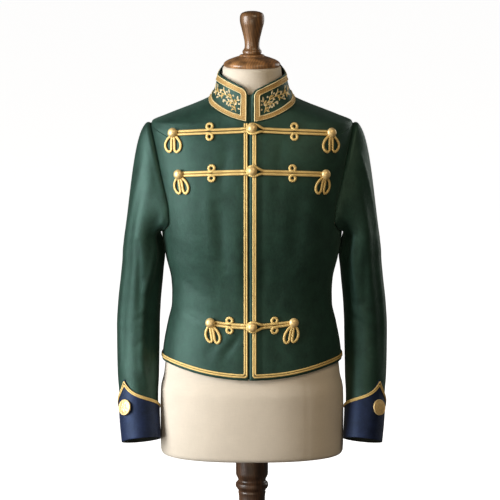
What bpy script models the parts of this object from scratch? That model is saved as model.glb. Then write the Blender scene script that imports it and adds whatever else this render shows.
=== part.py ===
"""Hussar jacket on a limbless tailor's dress form, at its real size.

Metres, +Z up.  The jacket faces -Y and the wearer's right side is at -X.
The origin is on the floor, on the pole's axis, under the middle of the round wooden base.

The jacket's outer surface is one skin: horizontal sections, each a rounded box of a given
half width, front depth, back depth and squareness.  A point on it is named by an angle, 0 at the
centre front and 90 degrees at the side, and by a height.  Every panel, the dress form and every
trim is cut from that skin and moved along its normal, so that they lie on each other.
"""

import math

import bmesh
import bpy
import numpy as np
from mathutils import Vector
from mathutils.geometry import delaunay_2d_cdt

MM = 0.001
COLLECTION = "hussar jacket"

CLOTH = 2.0 * MM
SEAM_GAP = 0.3 * MM
LAP_RISE = 2.4 * MM
LAP_INNER = 20.0 * MM
LAP_OUTER = 60.0 * MM

# The jacket's skin down to its hem, and below it the hips of the form.
# Height, half width, front depth, back depth in mm, and squareness.
SKIN = (
    (300, 183.0, 119.0, 113.0, 2.3),
    (330, 184.0, 122.0, 115.0, 2.3),
    (400, 184.0, 125.0, 118.0, 2.3),
    (440, 183.0, 126.0, 118.0, 2.3),
    (470, 182.0, 126.0, 117.0, 2.3),
    (494, 180.0, 124.0, 113.0, 2.3),
    (520, 177.5, 121.0, 108.0, 2.3),
    (568, 168.5, 116.0, 99.0, 2.3),
    (605, 160.5, 113.0, 94.0, 2.3),
    (629, 160.0, 113.0, 93.0, 2.3),
    (654, 161.5, 114.5, 95.0, 2.3),
    (702, 172.5, 120.0, 102.0, 2.3),
    (750, 180.0, 125.0, 110.0, 2.35),
    (800, 184.0, 127.0, 116.0, 2.4),
    (850, 189.0, 125.0, 120.0, 2.4),
    (898, 195.5, 117.0, 119.0, 2.35),
    (935, 199.5, 105.0, 111.0, 2.3),
    (958, 201.0, 94.0, 100.0, 2.25),
    (970, 199.0, 87.0, 92.0, 2.2),
    (982, 173.0, 82.0, 86.0, 2.2),
    (994, 143.0, 78.0, 80.0, 2.15),
    (1006, 112.0, 74.5, 74.0, 2.1),
    (1018, 86.0, 71.5, 68.0, 2.1),
    (1028, 74.0, 69.5, 64.0, 2.05),
    (1042, 66.0, 66.0, 60.0, 2.0),
    (1060, 59.5, 62.0, 56.0, 2.0),
    (1078, 57.5, 60.5, 54.5, 2.0),
)

# How far the form lies under the skin: height and depth in mm.
FORM_INSET = (
    (300, 0.0),
    (430, 0.0),
    (465, 6.0),
    (494, 7.0),
    (545, 5.5),
    (575, 4.8),
    (605, 4.4),
    (640, 4.6),
    (700, 5.0),
    (900, 5.5),
    (935, 7.2),
    (975, 7.5),
    (992, 4.8),
    (1006, 3.7),
    (1018, 3.7),
    (1028, 3.0),
    (1042, 1.2),
    (1060, 0.0),
    (1078, 0.0),
)

FORM_BOTTOM = 300.0 * MM
FORM_CORNER_HEIGHT = 9.0 * MM
FORM_CORNER_REACH = 6.0 * MM
FORM_COLUMNS = 30
# The heights of the form's rings in mm, above the rounded edge at its foot.
FORM_RINGS = (
    345, 400, 440, 468, 494, 530, 568, 605, 640, 680, 720, 765, 810, 855, 898, 932,
    955, 968, 978, 988, 998, 1008, 1018, 1030, 1046, 1062, 1078,
)

HEM_SIDE = 493.0 * MM
HEM_FRONT_DROP = 24.0 * MM
HEM_BACK_DROP = 12.0 * MM
NECK_FRONT = 975.5 * MM
NECK_SIDE = 1020.5 * MM
NECK_BACK = 1024.0 * MM
# The front neckline: its turn from the centre to the shoulder in degrees, then its distance from
# the middle and its height in mm.
NECK_LINE = (
    (0, 0.0, 975.5), (7, 8.4, 976.2), (14, 17.6, 978.3), (26, 34.5, 983.0), (40, 54.0, 991.2),
    (54, 71.0, 1000.6), (68, 81.6, 1008.6), (80, 84.4, 1014.8), (86, 83.8, 1018.2), (90, 82.3, 1020.5),
)

ARMHOLE_CENTRE = 858.5 * MM
ARMHOLE_HALF_HEIGHT = 107.5 * MM
# How far the armhole reaches to the front or back of the side, by its turn from the top to the
# foot: both in degrees.
ARMHOLE_REACH = (
    (0, 0.0), (26, 8.6), (58, 17.6), (90, 23.0), (123, 28.6), (141, 28.2), (156, 21.0), (180, 0.0),
)

# Where each front's cloth ends at the centre: the wearer's left front is at +X.
FRONT_EDGE = {"right": -8.0 * MM, "left": -5.0 * MM}
# Where the gold braid's outer side runs beside that edge.
BRAID_EDGE = {"right": -8.4 * MM, "left": 0.8 * MM}
BRAID_WIDTH = 7.4 * MM
BRAID_THICK = 1.2 * MM
BRAID_HEM_MARGIN = 4.5 * MM
BRAID_BELOW_NECK = 1.2 * MM
BACK_WIDEST = 110.0 * MM
BRAID_FRONT_ROWS = 21
BRAID_HEM_ROWS = 34
TRIM_LIFT = 0.5 * MM

UNDERLAP_MIDDLE = -6.0 * MM
UNDERLAP_HALF_WIDTH = 17.0 * MM
UNDERLAP_TOP = 1030.0 * MM
UNDERLAP_UNDER_SKIN = 1.4 * MM
UNDERLAP_BEHIND_COLLAR = 1.2 * MM
UNDERLAP_LEAVES_BODY = 970.0 * MM
UNDERLAP_IN_COLLAR = 1000.0 * MM
UNDERLAP_ABOVE_HEM = 2.0 * MM
UNDERLAP_STRAIGHT_TOP = 960.0 * MM
UNDERLAP_STRAIGHT_ROWS = 14
# The underlap's heights in mm where it leaves the body and goes up into the collar.
UNDERLAP_BEND_ROWS = (970, 980, 992, 1005, 1018)

COLLAR_TOP_FRONT = 1037.0 * MM
COLLAR_TOP_SIDE = 1066.0 * MM
COLLAR_TOP_BACK = 1085.5 * MM
COLLAR_TOP_BACK_FROM = 0.8
COLLAR_TOP_HALF_WIDTH = 66.3 * MM
COLLAR_TOP_FRONT_DEPTH = 75.0 * MM
COLLAR_TOP_BACK_DEPTH = 65.0 * MM
COLLAR_END = {"right": -8.5 * MM, "left": -1.0 * MM}
COLLAR_FOOT_GAP = 0.9 * MM
COLLAR_HOLLOW = 18.0 * MM
COLLAR_HOLLOW_FADE = 2
COLLAR_CORNER = 12.0 * MM
COLLAR_ROWS = (0, 0.1, 0.25, 0.5, 0.75, 1.0)
COLLAR_MIDDLE_COLUMNS = 27
COLLAR_END_COLUMNS = (0.0, math.radians(1.5), math.radians(4))
COLLAR_MIDDLE_FROM = math.radians(11)
LACE_FRONT_LEG = 12.0 * MM
LACE_TOP_LEG = 11.5 * MM
LACE_BOTTOM_LEG = 9.5 * MM
LACE_RIM = 3.0 * MM
LACE_FOOT_RIM = 0.4 * MM
LACE_END_RIM = {"right": 2.0 * MM, "left": 5.2 * MM}
LACE_LIFT = 1.2 * MM

# The sleeve below its head: height, centre outward, centre back, half width, half depth in mm,
# and how many degrees the section tips up at the front.
SLEEVE = (
    (738, 218.3, 5.0, 37.2, 64.0, 0.0),
    (702, 216.7, 8.0, 42.2, 63.0, 0.0),
    (660, 219.9, 12.0, 42.5, 61.0, 0.0),
    (605, 225.6, 15.0, 42.9, 57.0, 1.0),
    (555, 228.2, 13.0, 43.2, 54.0, 4.0),
    (507, 228.4, 5.0, 42.6, 51.0, 8.5),
    (458, 228.0, -7.0, 41.5, 48.0, 12.5),
    (430, 227.5, -14.0, 39.6, 44.8, 14.0),
    (410, 226.8, -20.0, 38.8, 43.6, 14.8),
    (365, 224.5, -32.0, 38.1, 41.6, 16.2),
    (326, 221.5, -41.0, 37.1, 41.1, 17.0),
)
SLEEVE_HEAD_ROWS = 5
# The head leaves the body square to it and turns down into the sleeve: how far each pull reaches,
# as a share of the way between them, and how the rows crowd toward the seam.
SLEEVE_HEAD_LEAVE = 0.09
SLEEVE_HEAD_ROLL = 5.0 * MM
SLEEVE_HEAD_ARRIVE = 0.40
SLEEVE_HEAD_CROWD = 1.3
# The head's fullness at the shoulder: how far it stands out and up there, and how far its outer
# side leans in from the arm.
CROWN_OUT = 8.5 * MM
CROWN_UP = 12.0 * MM
CROWN_LEAN = 14.5 * MM
SLEEVE_SEAM_INSET = 0.5 * MM
SLEEVE_COLUMNS = 20
SIDE_ROWS = 9
SHOULDER_ROWS = 5
FRONT_COLUMNS = 12
BACK_COLUMNS = 10
SLEEVE_END = 335.5 * MM
CUFF_END = 331.5 * MM
CUFF_SLANT = 4.0 * MM
CUFF_LIFT = 0.6 * MM
CUFF_TOP = 413.0 * MM
CUFF_POINT_RISE = 34.0 * MM
CUFF_POINT_SPREAD = math.radians(22.0)
CUFF_POINT_ANGLE = math.radians(50.5)
# The edge also sinks from its point to the back of the arm, within these turns on the outer and
# the inner side.
CUFF_TOP_SINK = 12.0 * MM
CUFF_SINK_OUTER = math.radians(60.0)
CUFF_SINK_INNER = math.radians(126.0)
CUFF_BRAID_WIDTH = 6.0 * MM
CUFF_BRAID_RIM = 0.6 * MM
CUFF_BRAID_LIFT = 1.0 * MM
CUFF_RADIUS = 42.0 * MM
CUFF_ROWS = 4
CUFF_BUTTON_LIFT = 1.3 * MM
CUFF_BUTTON_HEIGHT = 392.0 * MM

# One row of braid across the chest or the waist: its height at the centre, the distance out to
# its eyelets and to its end knob, how far the knob end stands above the centre, the height of its
# centre button, and the size of its eyelets, in mm; then how far its hanging knot leans toward
# the centre, as a share of the way down.
FROGS = (
    ("chest", 960.0, 83.0, 154.5, -7.0, 961.5, 9.0, 0.0),
    ("breast", 881.5, 79.0, 142.5, -7.0, 884.0, 9.0, 0.18),
    ("waist", 575.0, 44.0, 81.0, 5.4, 574.0, 8.3, 0.16),
)
FROG_HALF_HEIGHT = 5.4 * MM
FROG_THICK = 3.0 * MM
FROG_STEP = 17.0 * MM
FROG_START = {"right": 8.5 * MM, "left": 0.5 * MM}
FROG_OVER_BRAID = 1.9 * MM
FROG_RAMP_INNER = 19.0 * MM
FROG_RAMP_OUTER = 27.0 * MM
EYELET_OFFSET = 10.0 * MM
EYELET_HOLE = 2.5 * MM
FROG_END_CLEAR = 9.0 * MM
FROG_END_TIP = 6.5 * MM
FROG_END_SHOULDER = 4.0 * MM
BUTTON_MIDDLE = 0.5 * MM
BUTTON_SEAT = 0.5 * MM
KNOB_SEAT = 0.6 * MM
# The hanging cord knot beside its middle line, from the knob's centre: across and down in mm.
KNOT_SIDE = ((9.0, 9.0), (13.0, 17.0), (15.6, 25.0), (15.2, 32.5), (12.0, 38.5), (7.0, 40.5), (2.5, 39.3))
KNOT_NOTCH = 37.0
KNOT_SIDE_SLOT = ((7.0, 17.0), (10.4, 24.0), (9.8, 31.5), (6.8, 34.5), (6.4, 25.0))
KNOT_MIDDLE_SLOT = ((0.0, 14.0), (1.5, 20.0), (1.4, 27.0), (0.0, 31.5))

# Turned outlines, each from its top at the axis down the outer side: radius and height in mm.
CENTRE_BUTTON = ((0, 7.6), (4.6, 6.7), (7.8, 4.2), (9.3, 1.2), (8.9, 0.0), (0, 0.0))
END_KNOB = ((0, 9.0), (5, 8.0), (8.6, 5.0), (9.9, 1.4), (9.2, 0.0), (0, 0.0))
CUFF_BUTTON = ((0, 6.0), (7, 5.2), (12, 3.6), (14.2, 2.4), (16.0, 1.4), (15.2, 0.0), (0, 0.0))
FINIAL = (
    (0, 1189), (14, 1187.6), (21.5, 1184), (24.2, 1177), (24, 1168), (21.8, 1158), (18.8, 1146),
    (15.8, 1134), (14.6, 1123), (15.6, 1114), (18.7, 1110), (18.9, 1106.5), (17, 1103.7), (0, 1103.7),
)
NECK_CAP = (
    (0, 1103.4), (20, 1103.4), (24.5, 1101.6), (26.5, 1099.4), (33, 1097.4), (44, 1093.4), (52.5, 1089),
    (56.3, 1084.6), (55.8, 1080.2), (53.8, 1078.3), (0, 1078.3),
)
POLE = (
    (0, 299.7), (31.5, 299.7), (32.5, 290), (32.5, 256), (31, 250), (28, 243), (28.6, 239.5),
    (32.4, 235), (33, 231), (31.6, 226), (27.4, 220.5), (27.7, 216), (26.5, 211), (26, 120),
    (26.5, 50), (31, 43), (31, 38.3), (0, 38.3),
)
BASE = (
    (0, 38), (42, 38), (60, 33.5), (100, 29), (137, 26), (147, 21), (150, 14), (150, 4), (147, 0), (0, 0),
)

# Name, colour in linear light, roughness and metallic value.
LOOKS = (
    ("green wool", (0.020, 0.055, 0.042), 0.85, 0.0),
    ("green wool dark", (0.008, 0.022, 0.016), 0.90, 0.0),
    ("navy wool", (0.030, 0.045, 0.115), 0.85, 0.0),
    ("gold braid", (0.620, 0.370, 0.110), 0.50, 0.35),
    ("gilt metal", (0.700, 0.420, 0.130), 0.30, 1.00),
    ("cream linen", (0.640, 0.540, 0.420), 0.90, 0.0),
    ("brown wood", (0.230, 0.085, 0.030), 0.40, 0.0),
    ("dark wood", (0.085, 0.040, 0.022), 0.42, 0.0),
)


def table_columns(table, height):
    """The columns of a table in mm at the given heights."""
    return monotone(table, np.asarray(height, float) / MM)


def monotone(table, at):
    """The columns of a table at the given values of its first one, along monotone cubic pieces."""
    rows = np.array(table, float)
    rows = rows[np.argsort(rows[:, 0])]
    known = rows[:, 0]
    at = np.clip(at, known[0], known[-1])
    step = np.diff(known)
    piece = np.clip(np.searchsorted(known, at, side="right") - 1, 0, len(known) - 2)
    along = (at - known[piece]) / step[piece]
    columns = []
    for values in rows[:, 1:].T:
        rate = np.diff(values) / step
        slope = np.zeros(len(known))
        same_way = rate[:-1] * rate[1:] > 0
        before = rate[:-1][same_way]
        after = rate[1:][same_way]
        slope[1:-1][same_way] = 2 * before * after / (before + after)
        slope[0] = rate[0]
        slope[-1] = rate[-1]
        a = along
        columns.append(
            (2 * a ** 3 - 3 * a ** 2 + 1) * values[piece]
            + (a ** 3 - 2 * a ** 2 + a) * step[piece] * slope[piece]
            + (3 * a ** 2 - 2 * a ** 3) * values[piece + 1]
            + (a ** 3 - a ** 2) * step[piece] * slope[piece + 1]
        )
    return columns


def smooth_step(low, high, value):
    """0 below low, 1 above high, and smooth between."""
    part = np.clip((value - low) / (high - low), 0, 1)
    return part * part * (3 - 2 * part)


def section(angle, height):
    """A point of the skin's plain sections at an angle and a height."""
    half, front, back, square = table_columns(SKIN, height)
    across = np.sin(angle)
    ahead = np.cos(angle)
    depth = np.where(ahead > 0, front, back)
    x = half * np.sign(across) * np.abs(across) ** (2 / square) * MM
    y = -depth * np.sign(ahead) * np.abs(ahead) ** (2 / square) * MM
    return np.stack((x, y, height + 0 * x), -1)


def section_normal(angle, height):
    """The skin's outward direction."""
    turn = math.radians(1.0)
    rise = 1.5 * MM
    around = section(angle + turn, height) - section(angle - turn, height)
    up = section(angle, height + rise) - section(angle, height - rise)
    normal = np.cross(around, up)
    return normal / np.linalg.norm(normal, axis=-1, keepdims=True)


def skin(angle, height, lift):
    """A point of the jacket: the section moved out by a lift, and by the lap at the front."""
    angle = np.asarray(angle, float)
    height = np.asarray(height, float)
    flat = section(angle, height)
    lap = LAP_RISE * (1 - smooth_step(LAP_INNER, LAP_OUTER, np.abs(flat[..., 0])))
    lap = np.where(np.cos(angle) > 0, lap, 0)
    return flat + section_normal(angle, height) * (lap + lift)[..., None]


def angle_at(x, height):
    """The angle on the front at a distance from the middle."""
    half, _, _, square = table_columns(SKIN, height)
    share = np.clip(np.abs(x) / (half * MM), 0, 1)
    return np.sign(x) * np.arcsin(share ** (square / 2))


def hem_height(angle):
    drop = np.where(np.cos(angle) > 0, HEM_FRONT_DROP, HEM_BACK_DROP)
    return HEM_SIDE - drop * np.abs(np.cos(angle)) ** 3


def neck_line(turn):
    """The neckline's angles and heights: turn 0 is the centre front, 90 degrees the shoulder."""
    from_middle = np.degrees(np.arcsin(np.abs(np.sin(turn))))
    front_x, front_height = monotone(NECK_LINE, from_middle)
    back_x = table_columns(SKIN, NECK_SIDE)[0] * np.abs(np.sin(turn))
    back_height = NECK_SIDE + (NECK_BACK - NECK_SIDE) * np.cos(turn) ** 2
    at_front = np.cos(turn) > 0
    height = np.where(at_front, front_height * MM, back_height)
    side = np.where(np.sin(turn) < 0, -1.0, 1.0)
    angle = angle_at(side * np.where(at_front, front_x, back_x) * MM, height)
    return np.where(at_front, angle, side * math.pi - angle), height


def neck_turn(x):
    """The neckline's turn at a distance from the middle of the front."""
    rows = np.array(NECK_LINE)
    return math.radians(np.interp(x / MM, rows[:4, 1], rows[:4, 0]))


def armhole(turn):
    """The armhole seam from its top (0) by the front (90 degrees) to its foot and back."""
    half_turn = np.degrees(np.arccos(np.clip(np.cos(turn), -1, 1)))
    reach = np.radians(monotone(ARMHOLE_REACH, half_turn)[0]) * np.sign(np.sin(turn))
    return math.pi / 2 - reach, ARMHOLE_CENTRE + ARMHOLE_HALF_HEIGHT * np.cos(turn)


def even_armhole(start, end, count):
    """Angles and heights evenly spaced by length along a stretch of the armhole."""
    turn = np.linspace(start, end, 400)
    angle, height = armhole(turn)
    points = skin(angle, height, np.zeros_like(angle))
    length = np.concatenate(([0], np.cumsum(np.linalg.norm(np.diff(points, axis=0), axis=1))))
    even = np.interp(np.linspace(0, length[-1], count), length, turn)
    return armhole(even)


def side_line(away):
    """The panel's outer boundary from the hem up: side seam, armhole and shoulder seam.

    away is 1 for a front and -1 for the back.  It gives angles, heights and, per point, whether
    the point lies on a seam with the next panel.
    """
    armhole_angle, armhole_height = even_armhole(away * math.pi, 0.0, SLEEVE_COLUMNS // 2 + 1)
    seam_low = np.linspace(HEM_SIDE, armhole_height[0], SIDE_ROWS + 1)[:-1]
    seam_high = np.linspace(armhole_height[-1], NECK_SIDE, SHOULDER_ROWS + 1)[1:]
    low_side = np.full(SIDE_ROWS, math.pi / 2)
    high_side = np.full(SHOULDER_ROWS, math.pi / 2)
    angle = np.concatenate((low_side, armhole_angle, high_side))
    height = np.concatenate((seam_low, armhole_height, seam_high))
    on_seam = np.abs(angle - math.pi / 2) < 1e-6
    return angle, height, on_seam


def patch(bottom, top, left, right, share):
    """A grid of angles and heights between four boundary lines.

    bottom and top run across and left and right run up; share is each row's part of the way up.
    """
    across = np.linspace(0, 1, len(bottom[0]))[:, None]
    up = share[None, :]
    result = []
    for low, high, near, far in zip(bottom, top, left, right):
        sides = (1 - across) * near[None, :] + across * far[None, :]
        low_bow = low[:, None] - ((1 - across) * low[0] + across * low[-1])
        high_bow = high[:, None] - ((1 - across) * high[0] + across * high[-1])
        result.append(sides + (1 - up) * low_bow + up * high_bow)
    return result


def grid_object(name, look, points, closed=False):
    """A surface through a grid of points, its first index across and its second up."""
    columns, rows = points.shape[:2]
    mesh = bpy.data.meshes.new(name)
    work = bmesh.new()
    bmesh.ops.create_grid(work, x_segments=columns - 1, y_segments=rows - 1, size=1.0)
    work.verts.ensure_lookup_table()
    for vertex in work.verts:
        column = round((vertex.co.x + 1) / 2 * (columns - 1))
        row = round((vertex.co.y + 1) / 2 * (rows - 1))
        vertex.co = Vector(points[column, row])
    if closed:
        bmesh.ops.remove_doubles(work, verts=work.verts, dist=0.01 * MM)
    work.to_mesh(mesh)
    work.free()
    return add_object(name, look, mesh)


def add_object(name, look, mesh):
    """A named object in the jacket's collection, with its look and smooth shading."""
    piece = bpy.data.objects.new(name, mesh)
    bpy.data.collections[COLLECTION].objects.link(piece)
    mesh.materials.append(bpy.data.materials[look])
    mesh.shade_smooth()
    mesh.set_sharp_from_angle(angle=math.radians(40))
    return piece


def thicken(piece, thickness, outward=1.0):
    """Solidify outward from the surface, or inward where outward is -1."""
    shell = piece.modifiers.new("thickness", "SOLIDIFY")
    shell.thickness = thickness
    shell.offset = outward
    shell.use_quality_normals = True
    return piece


def turned(name, look, profile, steps):
    """A turned solid about its own Z axis, from a profile in mm."""
    mesh = bpy.data.meshes.new(name)
    points = [(radius * MM, 0, height * MM) for radius, height in profile]
    edges = [(i, i + 1) for i in range(len(points) - 1)]
    mesh.from_pydata(points, edges, [])
    piece = add_object(name, look, mesh)
    spin = piece.modifiers.new("turned", "SCREW")
    spin.axis = "Z"
    spin.steps = steps
    spin.render_steps = steps
    spin.use_merge_vertices = True
    spin.merge_threshold = 0.01 * MM
    spin.use_smooth_shade = True
    return piece


def stand_on(piece, point, outward):
    """Put a turned piece on a surface, its axis along the surface's outward direction."""
    piece.location = Vector(point)
    piece.rotation_mode = "QUATERNION"
    piece.rotation_quaternion = Vector(outward).to_track_quat("Z", "Y")
    return piece


def build_form():
    """The linen form: one smooth closed solid with a rounded edge under the hips."""
    corner = np.linspace(0, 1, 5) ** 2
    heights = np.concatenate((FORM_BOTTOM + corner * FORM_CORNER_HEIGHT, np.array(FORM_RINGS) * MM))
    below = np.clip((FORM_BOTTOM + FORM_CORNER_HEIGHT - heights) / FORM_CORNER_HEIGHT, 0, 1)
    pulled_in = FORM_CORNER_REACH * (1 - np.sqrt(1 - below ** 2))
    inset = table_columns(FORM_INSET, heights)[0] * MM
    angle = np.linspace(-math.pi, math.pi, FORM_COLUMNS + 1)
    a, h = np.meshgrid(angle, heights, indexing="ij")
    flat = section(a, h)
    points = flat - section_normal(a, h) * inset[None, :, None]
    shrink = 1 - pulled_in / table_columns(SKIN, heights)[0] / MM
    points[:, :, :2] *= shrink[None, :, None]
    floor = points[:, :1] * np.array((0, 0, 1.0))
    roof = points[:, -1:] * np.array((0, 0, 1.0))
    points = np.concatenate((floor, points, roof), axis=1)
    return grid_object("form_body", "cream linen", points, closed=True)


def build_stand():
    """The turned wood: the cap on the neck, its finial, the pole and the round base."""
    turned("neck_cap", "brown wood", NECK_CAP, 24)
    turned("finial", "brown wood", FINIAL, 18)
    turned("pole", "dark wood", POLE, 20)
    turned("base", "dark wood", BASE, 30)


def build_front(side):
    """One front: from the centre edge to the side seam, the armhole and the shoulder seam."""
    right_angle, right_height, on_seam = side_line(1.0)
    share = (right_height - right_height[0]) / (right_height[-1] - right_height[0])
    sign = 1.0 if side == "left" else -1.0
    edge_x = sign * FRONT_EDGE[side]
    neck = neck_line(np.linspace(float(neck_turn(edge_x)), math.pi / 2, FRONT_COLUMNS))
    left_low = float(hem_height(np.array(0.0)))
    left_high = neck[1][0]
    left_height = left_low + share * (left_high - left_low)
    left_angle = angle_at(edge_x, left_height)
    low_angle = np.linspace(left_angle[0], math.pi / 2, FRONT_COLUMNS)
    angle, height = patch(
        (low_angle, hem_height(low_angle)),
        neck,
        (left_angle, left_height),
        (right_angle, right_height),
        share,
    )
    points = skin(angle, height, np.full(angle.shape, -CLOTH))
    points[-1, on_seam, 1] = -SEAM_GAP / 2
    points[0, :, 0] = edge_x
    if sign < 0:
        points = points[::-1]
        points[:, :, 0] *= -1
    return thicken(grid_object("front_" + side, "green wool", points), CLOTH)


def build_back():
    """The back, in one width from side seam to side seam."""
    side_angle, side_height, on_seam = side_line(-1.0)
    share = (side_height - side_height[0]) / (side_height[-1] - side_height[0])
    middle_low = HEM_SIDE - HEM_BACK_DROP
    middle_height = middle_low + share * (NECK_BACK - middle_low)
    run = np.linspace(math.pi / 2, math.pi, BACK_COLUMNS)
    far_angle = np.full(len(side_height), math.pi)
    angle, height = patch(
        (run, hem_height(run)), neck_line(run), (side_angle, side_height), (far_angle, middle_height), share
    )
    half = skin(angle, height, np.full(angle.shape, -CLOTH))
    half[0, on_seam, 1] = SEAM_GAP / 2
    half[-1, :, 0] = 0
    other = half[-2::-1] * np.array((-1.0, 1.0, 1.0))
    return thicken(grid_object("back", "green wool", np.concatenate((half, other))), CLOTH)


def collar_front_depth(height):
    """How far forward the collar stands at the centre, at a height."""
    low, high = NECK_FRONT, COLLAR_TOP_FRONT
    foot = -float(skin(np.array(0.0), np.array(low), np.array(0.0))[1])
    part = np.clip((height - low) / (high - low), 0, 1.2)
    return foot + (COLLAR_TOP_FRONT_DEPTH - foot) * part


def build_underlap():
    """The strip behind the front opening, from the hem up into the collar."""
    across = UNDERLAP_MIDDLE + np.linspace(-1, 1, 4) * UNDERLAP_HALF_WIDTH
    hem = float(hem_height(np.array(0.0))) + UNDERLAP_ABOVE_HEM
    straight = np.linspace(hem, UNDERLAP_STRAIGHT_TOP, UNDERLAP_STRAIGHT_ROWS)
    up = np.concatenate((straight, np.array(UNDERLAP_BEND_ROWS) * MM, [UNDERLAP_TOP]))
    x, height = np.meshgrid(across, up, indexing="ij")
    on_body = -section(angle_at(x, height), height)[..., 1] - UNDERLAP_UNDER_SKIN
    collar_bow = x ** 2 / (2 * COLLAR_TOP_HALF_WIDTH)
    in_collar = collar_front_depth(height) - CLOTH - UNDERLAP_BEHIND_COLLAR - collar_bow
    collar_share = smooth_step(UNDERLAP_LEAVES_BODY, UNDERLAP_IN_COLLAR, height)
    depth = on_body + collar_share * (in_collar - on_body) - CLOTH
    points = np.stack((x, -depth, height), -1)
    return thicken(grid_object("underlap", "green wool dark", points), CLOTH)


def sleeve_ring(turn, height, lift):
    """A point of the sleeve at +X: turn 0 faces outward and 90 degrees faces the front."""
    across, back, half_width, half_depth, tip = table_columns(SLEEVE, height)
    out = np.cos(turn)
    ahead = np.sin(turn)
    long_way = np.sqrt((out / half_width) ** 2 + (ahead / half_depth) ** 2)
    reach_x = half_width * MM * out + lift * out / half_width / long_way
    reach_y = half_depth * MM * ahead + lift * ahead / half_depth / long_way
    tip = np.radians(tip)
    x = across * MM + reach_x
    y = back * MM - reach_y * np.cos(tip)
    z = height + reach_y * np.sin(tip)
    return np.stack((x, y, z), -1)


def build_sleeve(side):
    """One sleeve: its head rises from the armhole seam, and its tube runs down to the wrist."""
    turn = np.linspace(0, 2 * math.pi, SLEEVE_COLUMNS + 1)
    half = SLEEVE_COLUMNS // 2 + 1
    front = np.array(even_armhole(0.0, math.pi, half))
    back = np.array(even_armhole(2 * math.pi, math.pi, half))[:, -2::-1]
    angle, height = np.concatenate((front, back), axis=1)
    start = skin(angle, height, np.full(angle.shape, -CLOTH / 2))
    middle = start[:-1].mean(axis=0)
    outward = section_normal(angle, height)
    inward = middle - start
    inward -= outward * np.sum(inward * outward, axis=1, keepdims=True)
    inward /= np.linalg.norm(inward, axis=1, keepdims=True)
    start = start + inward * SLEEVE_SEAM_INSET
    levels = [row[0] * MM for row in SLEEVE[:-1]]
    first = levels[0]
    end = sleeve_ring(turn, np.full(turn.shape, first), np.zeros(turn.shape))
    distance = np.linalg.norm(end - start, axis=1, keepdims=True)
    crown = np.clip(np.cos(turn), 0, 1)[:, None] ** 2
    across = np.array((1.0, 0, 0))
    up = np.array((0, 0, 1.0))
    leave = start + outward * (SLEEVE_HEAD_LEAVE * distance + SLEEVE_HEAD_ROLL + CROWN_OUT * crown)
    leave += up * CROWN_UP * crown
    arrive = end + up * SLEEVE_HEAD_ARRIVE * distance - across * CROWN_LEAN * crown
    rows = []
    for part in np.linspace(0, 1, SLEEVE_HEAD_ROWS + 1)[:-1] ** SLEEVE_HEAD_CROWD:
        rest = 1 - part
        near = rest ** 3 * start + 3 * rest ** 2 * part * leave
        rows.append(near + 3 * rest * part ** 2 * arrive + part ** 3 * end)
    for level in levels:
        rows.append(sleeve_ring(turn, np.full(turn.shape, level), np.zeros(turn.shape)))
    wrist = SLEEVE_END - CUFF_SLANT * np.cos(turn)
    rows.append(sleeve_ring(turn, wrist, np.zeros(turn.shape)))
    points = np.stack(rows[::-1], axis=1)
    return sided_shell("sleeve_" + side, "green wool", points, side, CLOTH, -1.0)


def sided_shell(name, look, points, side, thickness, outward=1.0):
    """A round shell at +X, or its mirror image at -X; it thickens inward where outward is -1."""
    points = points[::-1].copy()
    if side == "right":
        points = points[::-1].copy()
        points[:, :, 0] *= -1
    piece = grid_object(name, look, points, closed=True)
    return thicken(piece, thickness, outward)


def cuff_edge(turn):
    """The cuff's upper edge and its slope: one sharp point at the front and outside, sinking from
    there to the back."""
    past = (turn - CUFF_POINT_ANGLE + math.pi) % (2 * math.pi) - math.pi
    away = np.abs(past)
    sink_range = np.where(past > 0, CUFF_SINK_INNER, CUFF_SINK_OUTER)
    share = np.clip(away / sink_range, 0, 1)
    point = CUFF_POINT_RISE * np.exp(-away / CUFF_POINT_SPREAD)
    fall = point / CUFF_POINT_SPREAD + 2 * CUFF_TOP_SINK * share / sink_range * (share < 1)
    return CUFF_TOP + point - CUFF_TOP_SINK * share ** 2, fall / CUFF_RADIUS


def build_cuff(side):
    """The pointed cuff over the end of the sleeve."""
    turn = np.linspace(0, 2 * math.pi, SLEEVE_COLUMNS + 1)
    low = CUFF_END - CUFF_SLANT * np.cos(turn)
    high = cuff_edge(turn)[0]
    up = np.linspace(0, 1, CUFF_ROWS)
    height = low[:, None] + up[None, :] * (high - low)[:, None]
    around = np.repeat(turn[:, None], len(up), axis=1)
    points = sleeve_ring(around, height, np.full(height.shape, CUFF_LIFT))
    return sided_shell("cuff_" + side, "navy wool", points, side, CLOTH)


def build_cuff_braid(side):
    """The gold braid along the cuff's upper edge."""
    turn = np.linspace(0, 2 * math.pi, SLEEVE_COLUMNS + 1)
    edge, slope = cuff_edge(turn)
    high = edge - CUFF_BRAID_RIM
    low = high - CUFF_BRAID_WIDTH * np.sqrt(1 + slope ** 2)
    height = np.stack((low, high), axis=1)
    around = np.repeat(turn[:, None], 2, axis=1)
    lift = CUFF_LIFT + CLOTH + CUFF_BRAID_LIFT
    points = sleeve_ring(around, height, np.full(height.shape, lift))
    return sided_shell("cuff_braid_" + side, "gold braid", points, side, BRAID_THICK)


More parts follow.
